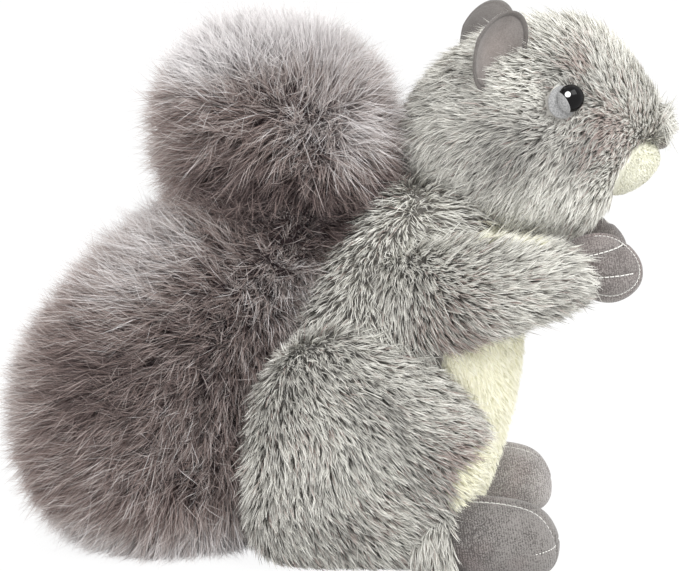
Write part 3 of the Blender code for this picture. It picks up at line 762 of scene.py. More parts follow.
def grow(form, count, seed, *, flow, tone, length, lift, width, lock, bare, clear=None, sway=0.3, roll=60.0):
    """Strands over a form.

    Each stands up from the surface by its lift at the root, lies over by a share of it from halfway, and
    runs along the flow. Halfway and tip are drawn towards the middle of the lock.
    """
    rng = np.random.default_rng(seed)
    root, normal = roots_on(form, count, rng)
    keep = (root[:, 2] > LIFT_OFF_FLOOR) & ~bare(root)
    root, normal = root[keep], normal[keep]
    count = len(root)
    centre, shares = locks_of(root, lock["pitch"])
    way = unit(flow(root, normal)) + sway * (shares - 0.5) * 2 + lock["fray"] * rng.normal(size=(count, 3))
    lay = along_skin(way, normal)
    long = per_root(length, root) * rng.uniform(*OWN_LENGTH, count) * rising(LOCK_LENGTH, shares[:, 0])
    guard = rng.uniform(size=count) < lock["guard"]
    long = np.where(guard, long * lock["overlong"], long)
    lifts = per_root(lift, root) * rng.uniform(*OWN_LIFT, count) * rising(LOCK_LIFT, shares[:, 1])
    rise = np.radians(np.minimum(lifts, STEEPEST))[:, None]
    over = rise * lock["lie"]
    first = normal * np.sin(rise) + lay * np.cos(rise)
    second = normal * np.sin(over) + lay * np.cos(over)
    pull = centre - root
    pull -= normal * (pull * normal).sum(1, keepdims=True)
    middle = root + first * long[:, None] / 2 + pull * PULLED_HALFWAY * lock["pull"]
    tip = middle + second * long[:, None] / 2 + pull * PULLED_ON * lock["pull"]
    run = unit(tip - root)
    flat = unit(np.cross(normal, run))
    turn = np.radians(rng.uniform(-roll, roll, count))[:, None]
    side = flat * np.cos(turn) + unit(np.cross(run, flat)) * np.sin(turn)
    shade = tone(root, normal, shares, guard, rng)
    wide = width * rng.uniform(*OWN_WIDTH, count) * np.where(guard, GUARD_WIDTH, 1.0)
    strands = {"root": root, "middle": middle, "tip": tip, "side": side, "width": wide, "tone": shade}
    gone = ((tip < ROOM[0]) | (tip > ROOM[1])).any(1)
    if clear is not None:
        gone |= clear(middle) | clear(tip)
    return part(strands, ~gone)


def part(strands, chosen):
    """Only the chosen strands."""
    return {key: value[chosen] for key, value in strands.items()}


def pile_finish(name, *rows, turn_at=0.35, rough=0.6, sheen=0.15):
    """Pile fibre: the root's colour and the tip's colour are looked up by tone, and mixed up the strand."""
    fibre = Finish(name, Roughness=rough, Specular_IOR_Level=0.35, Sheen_Weight=sheen, Sheen_Roughness=0.4)
    chart = fibre.node("ShaderNodeUVMap", {"uv_map": "OFBake"})
    across, up = fibre.part_of(chart, "X"), fibre.part_of(chart, "Y")
    share = ((up - ROOT_ROW) / (TIP_ROW - ROOT_ROW)).clamped()
    levels = [(0.0, (0, 0, 0)), (turn_at, (0.5, 0.5, 0.5)), (0.85, (1, 1, 1))]
    rise = fibre.ramp(share, levels, smooth=False)
    low = fibre.ramp(across, stops(*[(tone, root) for tone, root, tip in rows]), smooth=False)
    high = fibre.ramp(across, stops(*[(tone, tip) for tone, root, tip in rows]), smooth=False)
    fibre.set("Base Color", fibre.mix(rise, low, high))
    return fibre.material


# Each row is a tone, the colour of the root and the colour of the tip. In silver and pale pile, tones from 0
# to 0.2 are pinkish, and from 0.25 they run from dark to nearly white.
silver_pile = pile_finish(
    "silver_pile_fibre",
    (0.00, (104, 90, 86), (168, 150, 144)),
    (0.20, (122, 108, 103), (198, 184, 177)),
    (0.25, (60, 58, 55), (152, 150, 145)),
    (0.60, (100, 97, 91), (221, 219, 212)),
    (1.00, (154, 151, 141), (255, 254, 247)),
)
pale_pile = pile_finish(
    "pale_pile_fibre",
    (0.00, (160, 147, 141), (198, 184, 177)),
    (0.20, (168, 155, 149), (212, 199, 192)),
    (0.25, (150, 148, 142), (190, 188, 182)),
    (1.00, (218, 216, 208), (250, 249, 242)),
)
tail_pile = pile_finish(
    "tail_pile_fibre",
    (0.00, (54, 44, 44), (80, 67, 67)),
    (0.15, (76, 64, 63), (112, 97, 96)),
    (0.50, (117, 100, 96), (168, 150, 144)),
    (0.80, (152, 139, 136), (213, 204, 200)),
    (1.00, (178, 171, 171), (249, 247, 247)),
    turn_at=0.45,
    rough=0.5,
    sheen=0.25,
)
muzzle_pile = pile_finish(
    "muzzle_pile_fibre",
    (0.0, (230, 229, 212), (232, 231, 215)),
    (1.0, (233, 232, 216), (237, 236, 222)),
    turn_at=0.4,
    rough=0.8,
)
cream_pile = pile_finish(
    "cream_pile_fibre",
    (0.0, (236, 233, 206), (242, 239, 214)),
    (0.5, (246, 243, 220), (250, 248, 230)),
    (1.0, (250, 248, 228), (255, 254, 244)),
    turn_at=0.4,
    rough=0.75,
)

# %% [markdown]
# A toy's eye is a moulded dome on a shank that goes through felt and cover into a lock washer. Dome and
# felt are turned shapes: a profile of radius and height, carried round an axis.

# %% Eyes and felt in their seats
EYE = {"radius": 6.1 * MM, "dome": 5.2 * MM, "rim": 0.8 * MM}
EYE_AHEAD = math.radians(22)
EYE_UPWARD = math.radians(6)
FELT = {"radius": 7.25 * MM, "thick": 1.2 * MM}


def facing_axes(direction):
    """Level, up and out: the columns of a frame whose third axis is this direction."""
    out = unit(np.asarray(direction, float))
    level_way = unit(np.cross((0, 0, 1), out))
    return np.stack([level_way, np.cross(out, level_way), out], 1)


def revolve(name, profile, place, axes, around=40):
    """A profile of (radius, height) carried round the third axis of a frame at a place."""
    radius, height = np.array(profile, float).T
    angle = np.arange(around) / around * math.tau
    ring = np.stack([np.cos(angle), np.sin(angle), np.zeros(around)], -1)
    rings = radius[:, None, None] * ring + height[:, None, None] * np.array((0, 0, 1.0))
    return closed_rings(name, rings @ axes.T + place)


head, muzzle = forms["head"], forms["muzzle"]
head_axes = head.frame
eye_axes, eyes, felts = {}, {}, {}
for side, sign in SIDES:
    level = np.array((math.sin(EYE_AHEAD), sign * math.cos(EYE_AHEAD), 0)) * math.cos(EYE_UPWARD)
    facing = head_axes @ (level + (0, 0, math.sin(EYE_UPWARD)))
    eye_axes[side] = facing_axes(facing)
    solid = np.array([vertex.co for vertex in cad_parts[side + "_eye"].data.vertices])
    top = solid[(solid @ facing).argmax()]
    eyes[side] = top - facing * EYE["dome"]
    felts[side] = middle_of(side + "_eyelid_felt")
    print(side, "eye at", eyes[side].round(4))


def near_eyes(points):
    """How far each point is from the nearer eye's rim or felt's edge."""
    gaps = [np.linalg.norm(points - eyes[side], axis=1) - EYE["radius"] for side, _ in SIDES]
    gaps += [np.linalg.norm(points - felts[side], axis=1) - FELT["radius"] for side, _ in SIDES]
    return np.min(gaps, axis=0)


def from_eyes(points):
    """The direction away from the eye on the same side."""
    left = (points[:, 1] > TOY_Y)[:, None]
    return unit(points - np.where(left, eyes["left"], eyes["right"]))


def over_eyes(points):
    """True where a point would stand in front of an eye or its felt."""
    hidden = np.zeros(len(points), bool)
    for side, _ in SIDES:
        discs = ((eyes[side], EYE["radius"] + 0.2 * MM), (felts[side], FELT["radius"] - 2.2 * MM))
        for centre, radius in discs:
            local = (points - centre) @ eye_axes[side]
            hidden |= (np.hypot(local[:, 0], local[:, 1]) < radius) & (local[:, 2] > -3 * MM)
    return hidden


# %% [markdown]
# The nap of a head runs away from the nose: back over the crown and, heavier there, down the cheeks.
# Round the eyes it is clipped short, and it parts round the eyes and the muzzle instead of covering them.

# %% The head's pile
nose_tip = np.array((nape + HEAD["length"], 0.0, 0.44 * HEAD["height"]))
muzzle_middle = np.array((snout_back + 0.75 * MUZZLE["length"], 0.0, MUZZLE["up"] + 0.42 * MUZZLE["height"]))
MUZZLE_ROUND = 0.016
BACK_WAY = np.array((-0.55, 0, -0.22))
CHEEK_WAY = np.array((0.12, 0, -0.85))
CROWN_WAY = np.array((-0.3, 0, 0.8))
WHISKER_WAY = np.array((1.0, 0, -0.35))
SNOUT_END = nape + 0.93 * HEAD["length"]
CHEEK_TOP = 0.062


def whiskered(own):
    """0 on most of the head, and 1 at the end of the snout."""
    return step(own[:, 0], SNOUT_END, SNOUT_END + 6 * MM)


def head_flow(points, normal):
    """Away from the nose and back, down the cheek, up on the crown, and off the eyes and the muzzle."""
    own = head.own(points)
    away = unit((own - nose_tip) * (1, 0.6, 1))
    back = step(nose_tip[0] - own[:, 0], 0.01, 0.06)[:, None]
    cheek = step(CHEEK_TOP - own[:, 2], 0.0, 0.03)[:, None]
    crown = step(own[:, 2], 0.07, 0.095)[:, None]
    way = away * (1 - 0.4 * back) + back * BACK_WAY
    way += back * cheek * CHEEK_WAY + crown * CROWN_WAY
    way += 0.4 * drift(own, 0.03, 5)
    round_eye = 1.8 * np.exp(-np.maximum(near_eyes(points), 0) / (5 * MM))[:, None]
    way += round_eye * (from_eyes(points) @ head_axes)
    apart = own - muzzle_middle
    gap = np.linalg.norm(apart * (1, 0, 1), axis=1) - MUZZLE_ROUND
    beside = np.exp(-np.maximum(gap, 0) / (7 * MM))[:, None]
    way += 0.5 * beside * unit(apart * (1, 0.3, 1))
    way = mixed(unit(way), WHISKER_WAY + 0.5 * drift(own, 0.01, 7), whiskered(own)[:, None])
    return way @ head_axes.T


def head_length(points):
    """Short on the snout and shorter by the eyes, with long whiskers at the end."""
    own = head.own(points)
    snout = step(nose_tip[0] - own[:, 0], 0.012, 0.05)
    clipped = step(near_eyes(points), 0.0, 12 * MM)
    return (6.0 + 2.8 * snout + 6.0 * whiskered(own)) * (0.4 + 0.6 * clipped) * MM


def head_lift(points):
    """Degrees from the skin: more on the crown, less in front and by the eyes."""
    own = head.own(points)
    crown = step(own[:, 2], 0.6 * HEAD["height"], 0.95 * HEAD["height"])
    front = step(own[:, 0], 0.055, 0.085)
    return (42 + 14 * crown - 12 * front) * (0.55 + 0.45 * step(near_eyes(points), 0.0, 10 * MM))


def head_bare(points):
    """True where no root belongs: inside the torso or the muzzle, and by the eyes."""
    own = head.own(points)
    hidden = forms["torso"].holds(points, -3 * MM) | muzzle.holds(points, 0.4 * MM)
    below = own[:, 2] < 0.02 * HEAD["height"]
    return hidden | (near_eyes(points) < 0.2 * MM) | (below & forms["torso"].holds(points, 5 * MM))


def head_clear(points):
    """True where no strand may reach: before an eye or the nose, and inside the muzzle."""
    own = head.own(points) - (nose_ahead, 0, NOSE["up"] * HEAD["height"])
    before_nose = (np.abs(own[:, 1]) < 0.5 * NOSE["width"]) & (np.abs(own[:, 2]) < 0.55 * NOSE["height"])
    before_nose &= own[:, 0] > -0.1 * NOSE["depth"]
    return over_eyes(points) | muzzle.holds(points, -1.5 * MM) | before_nose


def spots(own, *places):
    """Soft round patches in the side view: a bell of this radius about each (ahead, up, radius)."""
    marks = [np.exp(-((own[:, 0] - x) ** 2 + (own[:, 2] - z) ** 2) / (2 * r * r)) for x, z, r in places]
    return np.max(marks, axis=0, initial=0.0)


def pink_or(light, pinkness, rng):
    """The tone of each strand: a pinkish one by this chance, or else by its light."""
    pink = rng.uniform(size=len(light)) < pinkness
    return np.where(pink, rng.uniform(0.02, 0.19, len(light)), np.clip(light, 0.27, 0.98))


HEAD_MARKS = {
    # how much lighter, and the spots
    "jaw": (0.75, (0.045, 0.010, 0.016), (0.065, 0.010, 0.016), (0.080, 0.016, 0.014)),
    "by the ear": (0.34, (0.036, 0.068, 0.008)),
    "nape": (0.12, (0.000, 0.050, 0.014)),
    "dull": (-0.24, (0.052, 0.070, 0.006), (0.034, 0.038, 0.015), (0.060, 0.040, 0.008)),
}
HEAD_PINKS = ((0.073, 0.050, 0.008), (0.0605, 0.077, 0.004))


def head_tone(points, normal, shares, guard, rng):
    own = head.own(points)
    crown = step(own[:, 2], 0.66 * HEAD["height"], HEAD["height"])
    front = step(own[:, 0], 0.060, 0.085)
    light = 0.54 + 0.08 * drift(points, 0.035, 11)[:, 0] + 0.30 * crown + 0.20 * front
    light += sum(amount * spots(own, *places) for amount, *places in HEAD_MARKS.values())
    light += 0.26 * (shares[:, 2] - 0.5) + 0.11 * rng.normal(size=len(points))
    return pink_or(light, 0.75 * spots(own, *HEAD_PINKS) + 0.03, rng)


BODY_LOCK = {"pitch": 2.0 * MM, "pull": 0.95, "lie": 0.62, "fray": 0.15, "guard": 0.09, "overlong": 1.45}
head_strands = grow(
    head,
    64000,
    1,
    flow=head_flow,
    tone=head_tone,
    length=head_length,
    lift=head_lift,
    width=0.56 * MM,
    lock=BODY_LOCK,
    bare=head_bare,
    clear=head_clear,
)
own = head.own(head_strands["root"])
on_crown = step(own[:, 2] + 0.35 * own[:, 0], 0.080, 0.098) * step(own[:, 0], 0.035, 0.055)
on_snout = step(own[:, 0] + 0.4 * own[:, 2], 0.084, 0.098)
is_pale = np.maximum(on_crown, on_snout) > np.random.default_rng(2).uniform(size=len(own))
ribbons("head_pile", part(head_strands, ~is_pale), silver_pile)
ribbons("head_front_pile", part(head_strands, is_pale), pale_pile)

# %% [markdown]
# Stuffing stretches the cover, so the pile of a full form fans out: to the back it lies over the tail, on
# a sleeve it runs to the paw, and on a haunch it is brushed forward and down to the foot.


# %% The body's pile
def combed(ahead_way, back_way, turn_from, turn_to, swirl, seed):
    """A flow that turns from the back way to the ahead way between two places along the toy."""

    def flow(points, normal):
        own = points - TOY
        share = step(own[:, 0], turn_from, turn_to)[:, None]
        way = mixed(unit(np.array(back_way, float)), unit(np.array(ahead_way, float)), share)
        return unit(way) + 0.12 * normal + swirl * drift(points, 0.045, seed)

    return flow


def body_tone(level, painted_shade_spots=(), lights=(), pinks=()):
    """A tone about this level of light, with its pinker spots, painted light at its lighter spots and on
    faces that look up, and painted shade at its darker spots.
    """

    def tone(points, normal, shares, guard, rng):
        own = points - TOY
        patches = drift(points, 0.045, 23)
        # Painted light: faces that look up are made lighter, as if lit from above.
        light = level + 0.13 * patches[:, 0] + 0.44 * (shares[:, 2] - 0.5) + 0.10 * normal[:, 2]
        # Painted light at the lighter spots, and painted shade at the darker ones.
        light += 0.40 * spots(own, *lights) - 0.22 * spots(own, *painted_shade_spots)
        pinkness = 0.04 + 0.12 * step(patches[:, 1], 0.3, 1.0) + 0.6 * spots(own, *pinks)
        return pink_or(light + 0.16 * rng.normal(size=len(points)), pinkness, rng)

    return tone


def held_by(*names, margin=-2 * MM):
    """A test for points inside any of these forms, shrunk by a margin."""

    def bare(points):
        return np.any([forms[name].holds(points, margin) for name in names], axis=0)

    return bare


def torso_bare(points):
    """True under the head and limbs, inside the belly, and at the back where the tail lies on it."""
    back = forms["torso"].own(points)[:, 0] < TORSO["back"] + 0.1 * TORSO["depth"]
    return back | held_by("head", *LIMBS)(points) | forms["belly_panel"].holds(points, 0.5 * MM)


ANKLE_AHEAD = 0.0285


def beyond_ankle(foot, side):
    """Bare ahead of the ankle's seam, and inside the haunch."""

    def bare(points):
        own = foot.own(points)
        seam = ANKLE_AHEAD - 0.12 * own[:, 2]
        return (own[:, 0] > seam) | forms[side + "_haunch"].holds(points, -1 * MM)

    return bare


# The belly's cream runs up to the throat, between the arms, and out over the lower edge of the lap.
THROAT = (0.073, 0.148, 0.012)
THROAT_HALF = 0.045
LAP = {"ahead": 0.0475, "low": 0.035, "high": 0.064, "slope_from": 0.0475}


def is_cream(own):
    """True where a root of the body's pile lies on the cream cloth of throat or lap."""
    throat = (spots(own, THROAT) > 0.5) & (np.abs(own[:, 1]) < THROAT_HALF)
    ahead = own[:, 0] - LAP["ahead"] + 0.002 * drift(own, 0.01, 71)[:, 0]
    lap = (own[:, 2] > LAP["low"]) & (own[:, 2] < LAP["high"]) & (own[:, 2] < LAP["slope_from"] + ahead)
    return throat | (lap & (ahead > 0))


def pile(name, form, count, seed, flow, tone, bare, **changes):
    """Body pile with its usual length, lift and width, and ribbons made from it."""
    usual = {"length": 8.8 * MM, "lift": 53, "width": 0.58 * MM, "lock": BODY_LOCK}
    strands = grow(form, count, seed, flow=flow, tone=tone, bare=bare, **{**usual, **changes})
    cream = is_cream(strands["root"] - TOY)
    if cream.any():
        ribbons(name + "_cream", part(strands, cream), cream_pile)
    ribbons(name, part(strands, ~cream), silver_pile)


# Painted shade below the arm, in the haunch's folds and low by the floor, and painted light high on the
# shoulder.
TORSO_PAINTED_SHADE = ((0.006, 0.078, 0.006), (0.03, 0.072, 0.006))
TORSO_PAINTED_LIGHT = ((0.02, 0.14, 0.015), (0.0375, 0.1645, 0.026))
THIGH_PAINTED_SHADE = ((-0.034, 0.030, 0.012), (0.035, 0.045, 0.010), (0.0, 0.02, 0.008), (-0.02, 0.085, 0.007))
torso_flow = combed((0.65, 0, -0.8), (0.3, 0, -1.0), 0.01, 0.04, 0.3, 31)
torso_tone = body_tone(0.68, TORSO_PAINTED_SHADE, TORSO_PAINTED_LIGHT)
sleeve_flow = combed((1, 0, -0.12), (0.35, 0, -1.0), 0.015, 0.060, 0.35, 37)
# The sleeve's darker spot is painted shade in the armpit.
sleeve_tone = body_tone(0.74, painted_shade_spots=((0.03, 0.10, 0.008),), pinks=((0.052, 0.108, 0.012),))
thigh_flow = combed((1.0, 0, -0.45), (0.55, 0, -0.9), -0.02, 0.05, 0.42, 41)
thigh_tone = body_tone(0.69, THIGH_PAINTED_SHADE, pinks=((0.052, 0.055, 0.010),))
ankle_flow = combed((0.55, 0, -1.0), (0.3, 0, -1.0), 0, 0.06, 0.3, 43)
ankle_tone = body_tone(0.74)
ankle_changes = {"length": 10 * MM, "lift": 40}
pile("torso_pile", forms["torso"], 44000, 2, torso_flow, torso_tone, torso_bare)
for side, sign in SIDES:
    foot = forms[side + "_foot"]
    bare = held_by("torso", "head", side + "_haunch", side + "_paw")
    pile(side + "_arm_pile", forms[side + "_arm"], 19000, 3 + sign, sleeve_flow, sleeve_tone, bare)
    bare = held_by("torso", side + "_foot", side + "_arm", "belly_panel")
    pile(side + "_haunch_pile", forms[side + "_haunch"], 38000, 6 + sign, thigh_flow, thigh_tone, bare)
    # The cover of the haunch reaches down round the ankle, so its pile hides the back of the foot.
    bare = beyond_ankle(foot, side)
    pile(side + "_ankle_pile", foot, 16000, 16 + sign, ankle_flow, ankle_tone, bare, **ankle_changes)

# %% [markdown]
# The belly and the muzzle have a short dense nap, like a towel's. It stands nearly upright, so it shows as
# a soft edge and a fine grain rather than as locks.


# %% Short cream nap
NAP_LOCK = {"pitch": 2.4 * MM, "pull": 0.5, "lie": 0.7, "fray": 0.2, "guard": 0.05, "overlong": 1.2}


def cream_tone(points, normal, shares, guard, rng):
    light = 0.6 + 0.10 * (2 * (shares[:, 0] - 0.5) + rng.normal(size=len(points)))
    return np.clip(light, 0.02, 0.98)


def falling(points, normal):
    """Down and a little ahead."""
    return np.array((0.15, 0.0, -1.0)) + 0.35 * drift(points, 0.03, 51)


def belly_bare(points):
    """True behind the panel's edge and inside its neighbours."""
    behind = forms["belly_panel"].own(points)[:, 0] < TORSO["back"] + 0.55 * TORSO["depth"]
    return behind | held_by("head", "torso", *LIMBS)(points)


def cream_nap(name, form, count, seed, bare, finish, length, lift):
    shape = {"length": length, "lift": lift, "width": 0.5 * MM, "lock": NAP_LOCK}
    strands = grow(form, count, seed, flow=falling, tone=cream_tone, bare=bare, **shape)
    ribbons(name, strands, finish)


inside_head = held_by("head", margin=-1 * MM)
cream_nap("belly_pile", forms["belly_panel"], 30000, 8, belly_bare, cream_pile, 5 * MM, 45)
cream_nap("muzzle_pile", muzzle, 16000, 9, inside_head, muzzle_pile, 1.4 * MM, 50)

# %% [markdown]
# The tail is another cloth: long, springy hair that stands out from the backing and fans away from the stem.
# Brown below, it ends in silver. The glow of the tail's rim, where the hair looks up and back, is painted
# light, and the dark of its middle, under the curl and round the stem, is painted shade.

# %% The tail's pile
STEM_LOW = np.array((0.0, 0, 0.122))
STEM_HIGH = np.array((-0.006, 0, 0.200))
CURL_FROM, CURL_TO = 0.160, 0.172
WHORL = (-0.066, 0.045, 0.016)
PLUME_SHOULDER = (-0.098, 0.152, 0.026)
TAIL_WARM = ((-0.002, 0.196, 0.018), (-0.02, 0.13, 0.018))
TAIL_PAINTED_SHADE = (
    # how dark the painted shade is, and the spots: under the curl, in the crease below it, behind and ahead
    # of the stem
    (1.0, (-0.067, 0.207, 0.007), (-0.03, 0.176, 0.010), (-0.01, 0.172, 0.012), (0.01, 0.172, 0.012)),
    (0.8, (-0.05, 0.176, 0.009), (-0.034, 0.160, 0.012), (-0.01, 0.155, 0.012), (0.008, 0.15, 0.01)),
    (0.6, (-0.115, 0.095, 0.02), (-0.01, 0.11, 0.012)),
)


def tail_flow(points, normal):
    """Away from the stem, which runs up the front of the plume and through the curl."""
    own = points - TOY
    curl = step(own[:, 2], CURL_FROM, CURL_TO)[:, None]
    out = unit((own - mixed(STEM_LOW, STEM_HIGH, curl)) * (1, 0.6, 1))
    lean = mixed(np.array((-0.25, 0, 0.1)), np.array((0.0, 0, 0.15)), curl)
    return out + lean + (0.35 + 0.9 * spots(own, WHORL)[:, None]) * drift(own, 0.035, 61)


def tail_length(points):
    """Shorter in front of the plume, and longer at its shoulder."""
    own = points - TOY
    front = step(own[:, 0], -0.045, 0.0)
    curl = step(own[:, 2], CURL_FROM, CURL_TO + 0.02)
    return (18.5 - 6.5 * front * (1 - curl) + 6.5 * spots(own, PLUME_SHOULDER)) * MM


def tail_tone(points, normal, shares, guard, rng):
    """Brown, and silver where the hair looks up and back, a painted rim light; paler on the curl, on the top
    and down by the floor, and darkened by painted shade under the curl and round the stem.
    """
    own = points - TOY
    curl = step(own[:, 2], CURL_FROM, CURL_TO + 0.01)
    # Painted rim light: hair that looks up and back is made silver.
    rim = step(normal @ np.array((-0.45, 0, 0.89)), 0.1, 0.95)
    # Painted shade under the curl, in the crease below it and round the stem.
    dark = np.max([share * spots(own, *places) for share, *places in TAIL_PAINTED_SHADE], axis=0)
    top = step(own[:, 2], 0.205, 0.235)
    low = step(0.035 - own[:, 2], 0.0, 0.03)
    light = 0.44 + 0.08 * drift(points, 0.05, 67)[:, 0] + (0.38 + 0.22 * curl) * rim + 0.06 * curl
    light += 0.24 * top + 0.46 * low + 0.36 * spots(own, *TAIL_WARM) - 0.50 * dark
    light += 0.2 * (shares[:, 0] - 0.5) + 0.09 * rng.normal(size=len(points))
    return np.clip(np.where(guard, light + 0.28, light), 0.02, 0.98)


TAIL_LOCK = {"pitch": 3.6 * MM, "pull": 0.52, "lie": 0.8, "fray": 0.42, "guard": 0.22, "overlong": 1.3}
tail_strands = grow(
    forms["tail"],
    122000,
    12,
    flow=tail_flow,
    tone=tail_tone,
    length=tail_length,
    lift=72,
    width=0.38 * MM,
    lock=TAIL_LOCK,
    bare=held_by("torso", "left_haunch", "right_haunch", "head", margin=-4 * MM),
    sway=0.6,
    roll=90.0,
)
low = tail_strands["root"][:, 2] < np.median(tail_strands["root"][:, 2])
ribbons("tail_plume_pile", part(tail_strands, low), tail_pile)
ribbons("tail_curl_pile", part(tail_strands, ~low), tail_pile)

# %% [markdown]
# Suede cloth has a short sanded face: matt, a little mottled where it was stroked, with the fine ribs of
# its knit just visible. The mottle goes into the colour and the ribs into the bump.

# %% Suede and thread
KNIT = {"pitch": 1.1 * MM, "slant": 900.0, "wobble": 8.0, "wobble_scale": 400.0}
# The mottle's share, grain and offset, and how fast the painted light pales the cloth toward the toe.
MOTTLE_AND_PAINTED_LIGHT = {"share": 0.45, "grain": 1.1, "less": 0.27, "rise": 3.5}
BLUSH = {"scale": 38.0, "contrast": 3.0, "less": 1.55, "share": 0.5}
FINE_SCALE = 1500.0


def suede_finish(name, deep, lit, knit, painted_light_from=None):
    """Sanded knit: slow and fine mottling and a pink cast in colour, wavy columns and grain in the bump.
    Given a place ahead, the colour grows paler past it toward the toe: painted light.
    """
    suede = Finish(name, Roughness=0.9, Specular_IOR_Level=0.2, Sheen_Weight=0.25, Sheen_Roughness=0.5)
    where = suede.places()
    stroked = suede.noise(where, 60.0, 3.0, 0.6)
    fine = suede.noise(where, FINE_SCALE, 2.0, 0.6)
    ahead, up = suede.part_of(where, "X"), suede.part_of(where, "Z")
    wobble = suede.noise(where, KNIT["wobble_scale"], 3.0) * KNIT["wobble"]
    loops = (ahead * (math.tau / KNIT["pitch"]) + up * KNIT["slant"] + wobble).sine()
    shade = stroked * MOTTLE_AND_PAINTED_LIGHT["share"] + fine * MOTTLE_AND_PAINTED_LIGHT["grain"] - MOTTLE_AND_PAINTED_LIGHT["less"] + loops * knit
    # Painted light: paler the further ahead, toward the toe.
    if painted_light_from is not None:
        shade = shade + (ahead - painted_light_from) * MOTTLE_AND_PAINTED_LIGHT["rise"]
    shade = shade.clamped()
    blush = suede.noise(where, BLUSH["scale"]) * BLUSH["contrast"] - BLUSH["less"]
    blush = blush.clamped() * BLUSH["share"]
    cloth = suede.ramp(shade, stops((0.32, deep), (0.68, lit)))
    pinker = suede.ramp(shade, stops((0.32, (116, 98, 97)), (0.68, (158, 139, 137))))
    suede.set("Base Color", suede.mix(blush, cloth, pinker))
    suede.bump(fine * 0.6 + loops * (3.0 * knit), 0.35 * MM, 0.8)
    return suede.material


grey_suede = suede_finish("grey_suede_cloth", (96, 90, 88), (146, 140, 137), 0.05)
# The far foot's cloth is a lighter copy of the same suede, painted light; the near foot's pales toward its
# toe, painted light too.
foot_suede = {
    "right": suede_finish("foot_suede_cloth", (82, 78, 76), (140, 136, 133), 0.07, TOY_X + 0.066),
    "left": suede_finish("painted_lit_foot_suede_cloth", (118, 113, 111), (180, 175, 172), 0.05),
}
thread = Finish("white_thread", Roughness=0.6)
thread.set("Base Color", (*tint(236, 235, 230), 1))


def plane_groove(across, deep=0.9 * MM, wide=0.9 * MM, lean=0.0, level=0.0):
    """A groove where the form crosses a plane: y is across, and leans over with height above a level."""

    def depth(own):
        apart = own[:, 1] - across - lean * (own[:, 2] - level)
        return deep * np.exp(-((apart / wide) ** 2))

    return depth


def line_groove(start, end, deep=0.9 * MM, wide=0.9 * MM):
    """A groove along a line in the side view, on both faces."""
    start, end = np.array(start), np.array(end)
    run = end - start

    def depth(own):
        side_view = own[:, [0, 2]] - start
        share = np.clip(side_view @ run / (run @ run), 0, 1)
        gap = np.linalg.norm(side_view - share[:, None] * run, axis=1)
        return deep * np.exp(-((gap / wide) ** 2))

    return depth


def stitches(name, path, length=2.0 * MM, gap=0.7 * MM, radius=0.22 * MM, lift=0.1 * MM, deep=0.25 * MM):
    """Thread along a path of points and normals: short tubes whose ends dip into the cloth."""
    points, normal = path
    rings, corners = 7, 8
    run = np.concatenate([[0], np.cumsum(np.linalg.norm(np.diff(points, axis=0), axis=1))])
    count = max(int(run[-1] / (length + gap)), 1)
    share = np.linspace(0, 1, rings)
    place = (np.arange(count)[:, None] * (length + gap) + share * length).ravel()
    line = np.stack([np.interp(place, run, points[:, k]) for k in range(3)], 1)
    up = unit(np.stack([np.interp(place, run, normal[:, k]) for k in range(3)], 1))
    dip = 1 - (2 * np.tile(share, count) - 1) ** 4
    line = line + up * (lift * dip - deep * (1 - dip))[:, None]
    beside_way = unit(np.cross(up, unit(np.gradient(line, axis=0))))
    angle = np.arange(corners) / corners * math.tau
    ring = np.cos(angle)[:, None] * beside_way[:, None] + np.sin(angle)[:, None] * up[:, None]
    tube = line[:, None] + radius * ring
    tube[..., 2] = np.maximum(tube[..., 2], LIFT_OFF_FLOOR)
    here = np.arange(count * rings * corners).reshape(count, rings, corners)
    caps = here[:, 0, ::-1].tolist() + here[:, -1].tolist()
    dress(grid_mesh(name, tube.reshape(-1, 3), quads_of(here).tolist() + caps), thread.material)


def section(form, across, from_x, lean=0.0, level=0.0):
    """The line where a form crosses a seam's plane: ahead over the top, and back underneath.

    On each rib that is half width sin(angle) - lean reach cos(angle) = gap, which two angles solve.
    """
    t = np.linspace(0.2, form.spans - 0.01, 160)
    row = form.spline(t)[0]
    sine_part, cosine_part = row[:, 5], -lean * row[:, 4]
    gap = across + lean * (row[:, 2] - level) - row[:, 1]
    share = gap / np.maximum(np.hypot(sine_part, cosine_part), TINY)
    fits = (np.abs(share) < 1) & (row[:, 0] > from_x)
    t = t[fits]
    middle = np.arctan2(sine_part, cosine_part)[fits]
    spread = np.arccos(share[fits])
    return form.at(np.concatenate([t, t[::-1]]), np.concatenate([middle - spread, (middle + spread)[::-1]]))


def face_line(form, start, end, sign):
    """A line in the side view laid on the face that looks to this side."""
    share = np.linspace(0, 1, 40)[:, None]
    x, z = mixed(np.array(start), np.array(end), share).T
    t = np.interp(x, form.table[:, 0], form.steps)
    row = form.spline(t)[0]
    rise = np.clip((z - row[:, 2]) / np.maximum(row[:, 4], TINY), -0.98, 0.98)
    return form.at(t, np.arccos(rise) * sign)


# %% [markdown]
# Paws and feet are sewn from two panels, turned right side out. The seam round the edge pulls a groove
# into the stuffing, and lines of white stitches through both faces make fingers and toes.

# %% Paws and feet
FOOT_SEAM = {"left": -2.6 * MM, "right": -3.4 * MM}
FOOT_SEAM_FROM = 0.022
TOE = ((0.0640, 0.0150), (0.0718, 0.0166))
PAW_SEAM = {"out": 6.2 * MM, "lean": -0.26, "from": 0.016}
# Each finger line runs between two places, ahead of the wrist and above the paw's foot.
FINGERS = (((0.013, 0.0250), (0.0315, 0.0300)), ((0.013, 0.0146), (0.0355, 0.0168)))


def sunk(path, depth):
    """A path of points and normals pressed into the cloth."""
    points, normal = path
    return points - depth * normal, normal


def sew(node, grooves, cloth):
    """A suede piece with its grooves, in place of its solid."""
    made = cover(node + "_cover", forms[node], grooves, along=110, around=96)
    dress(made, cloth, node)


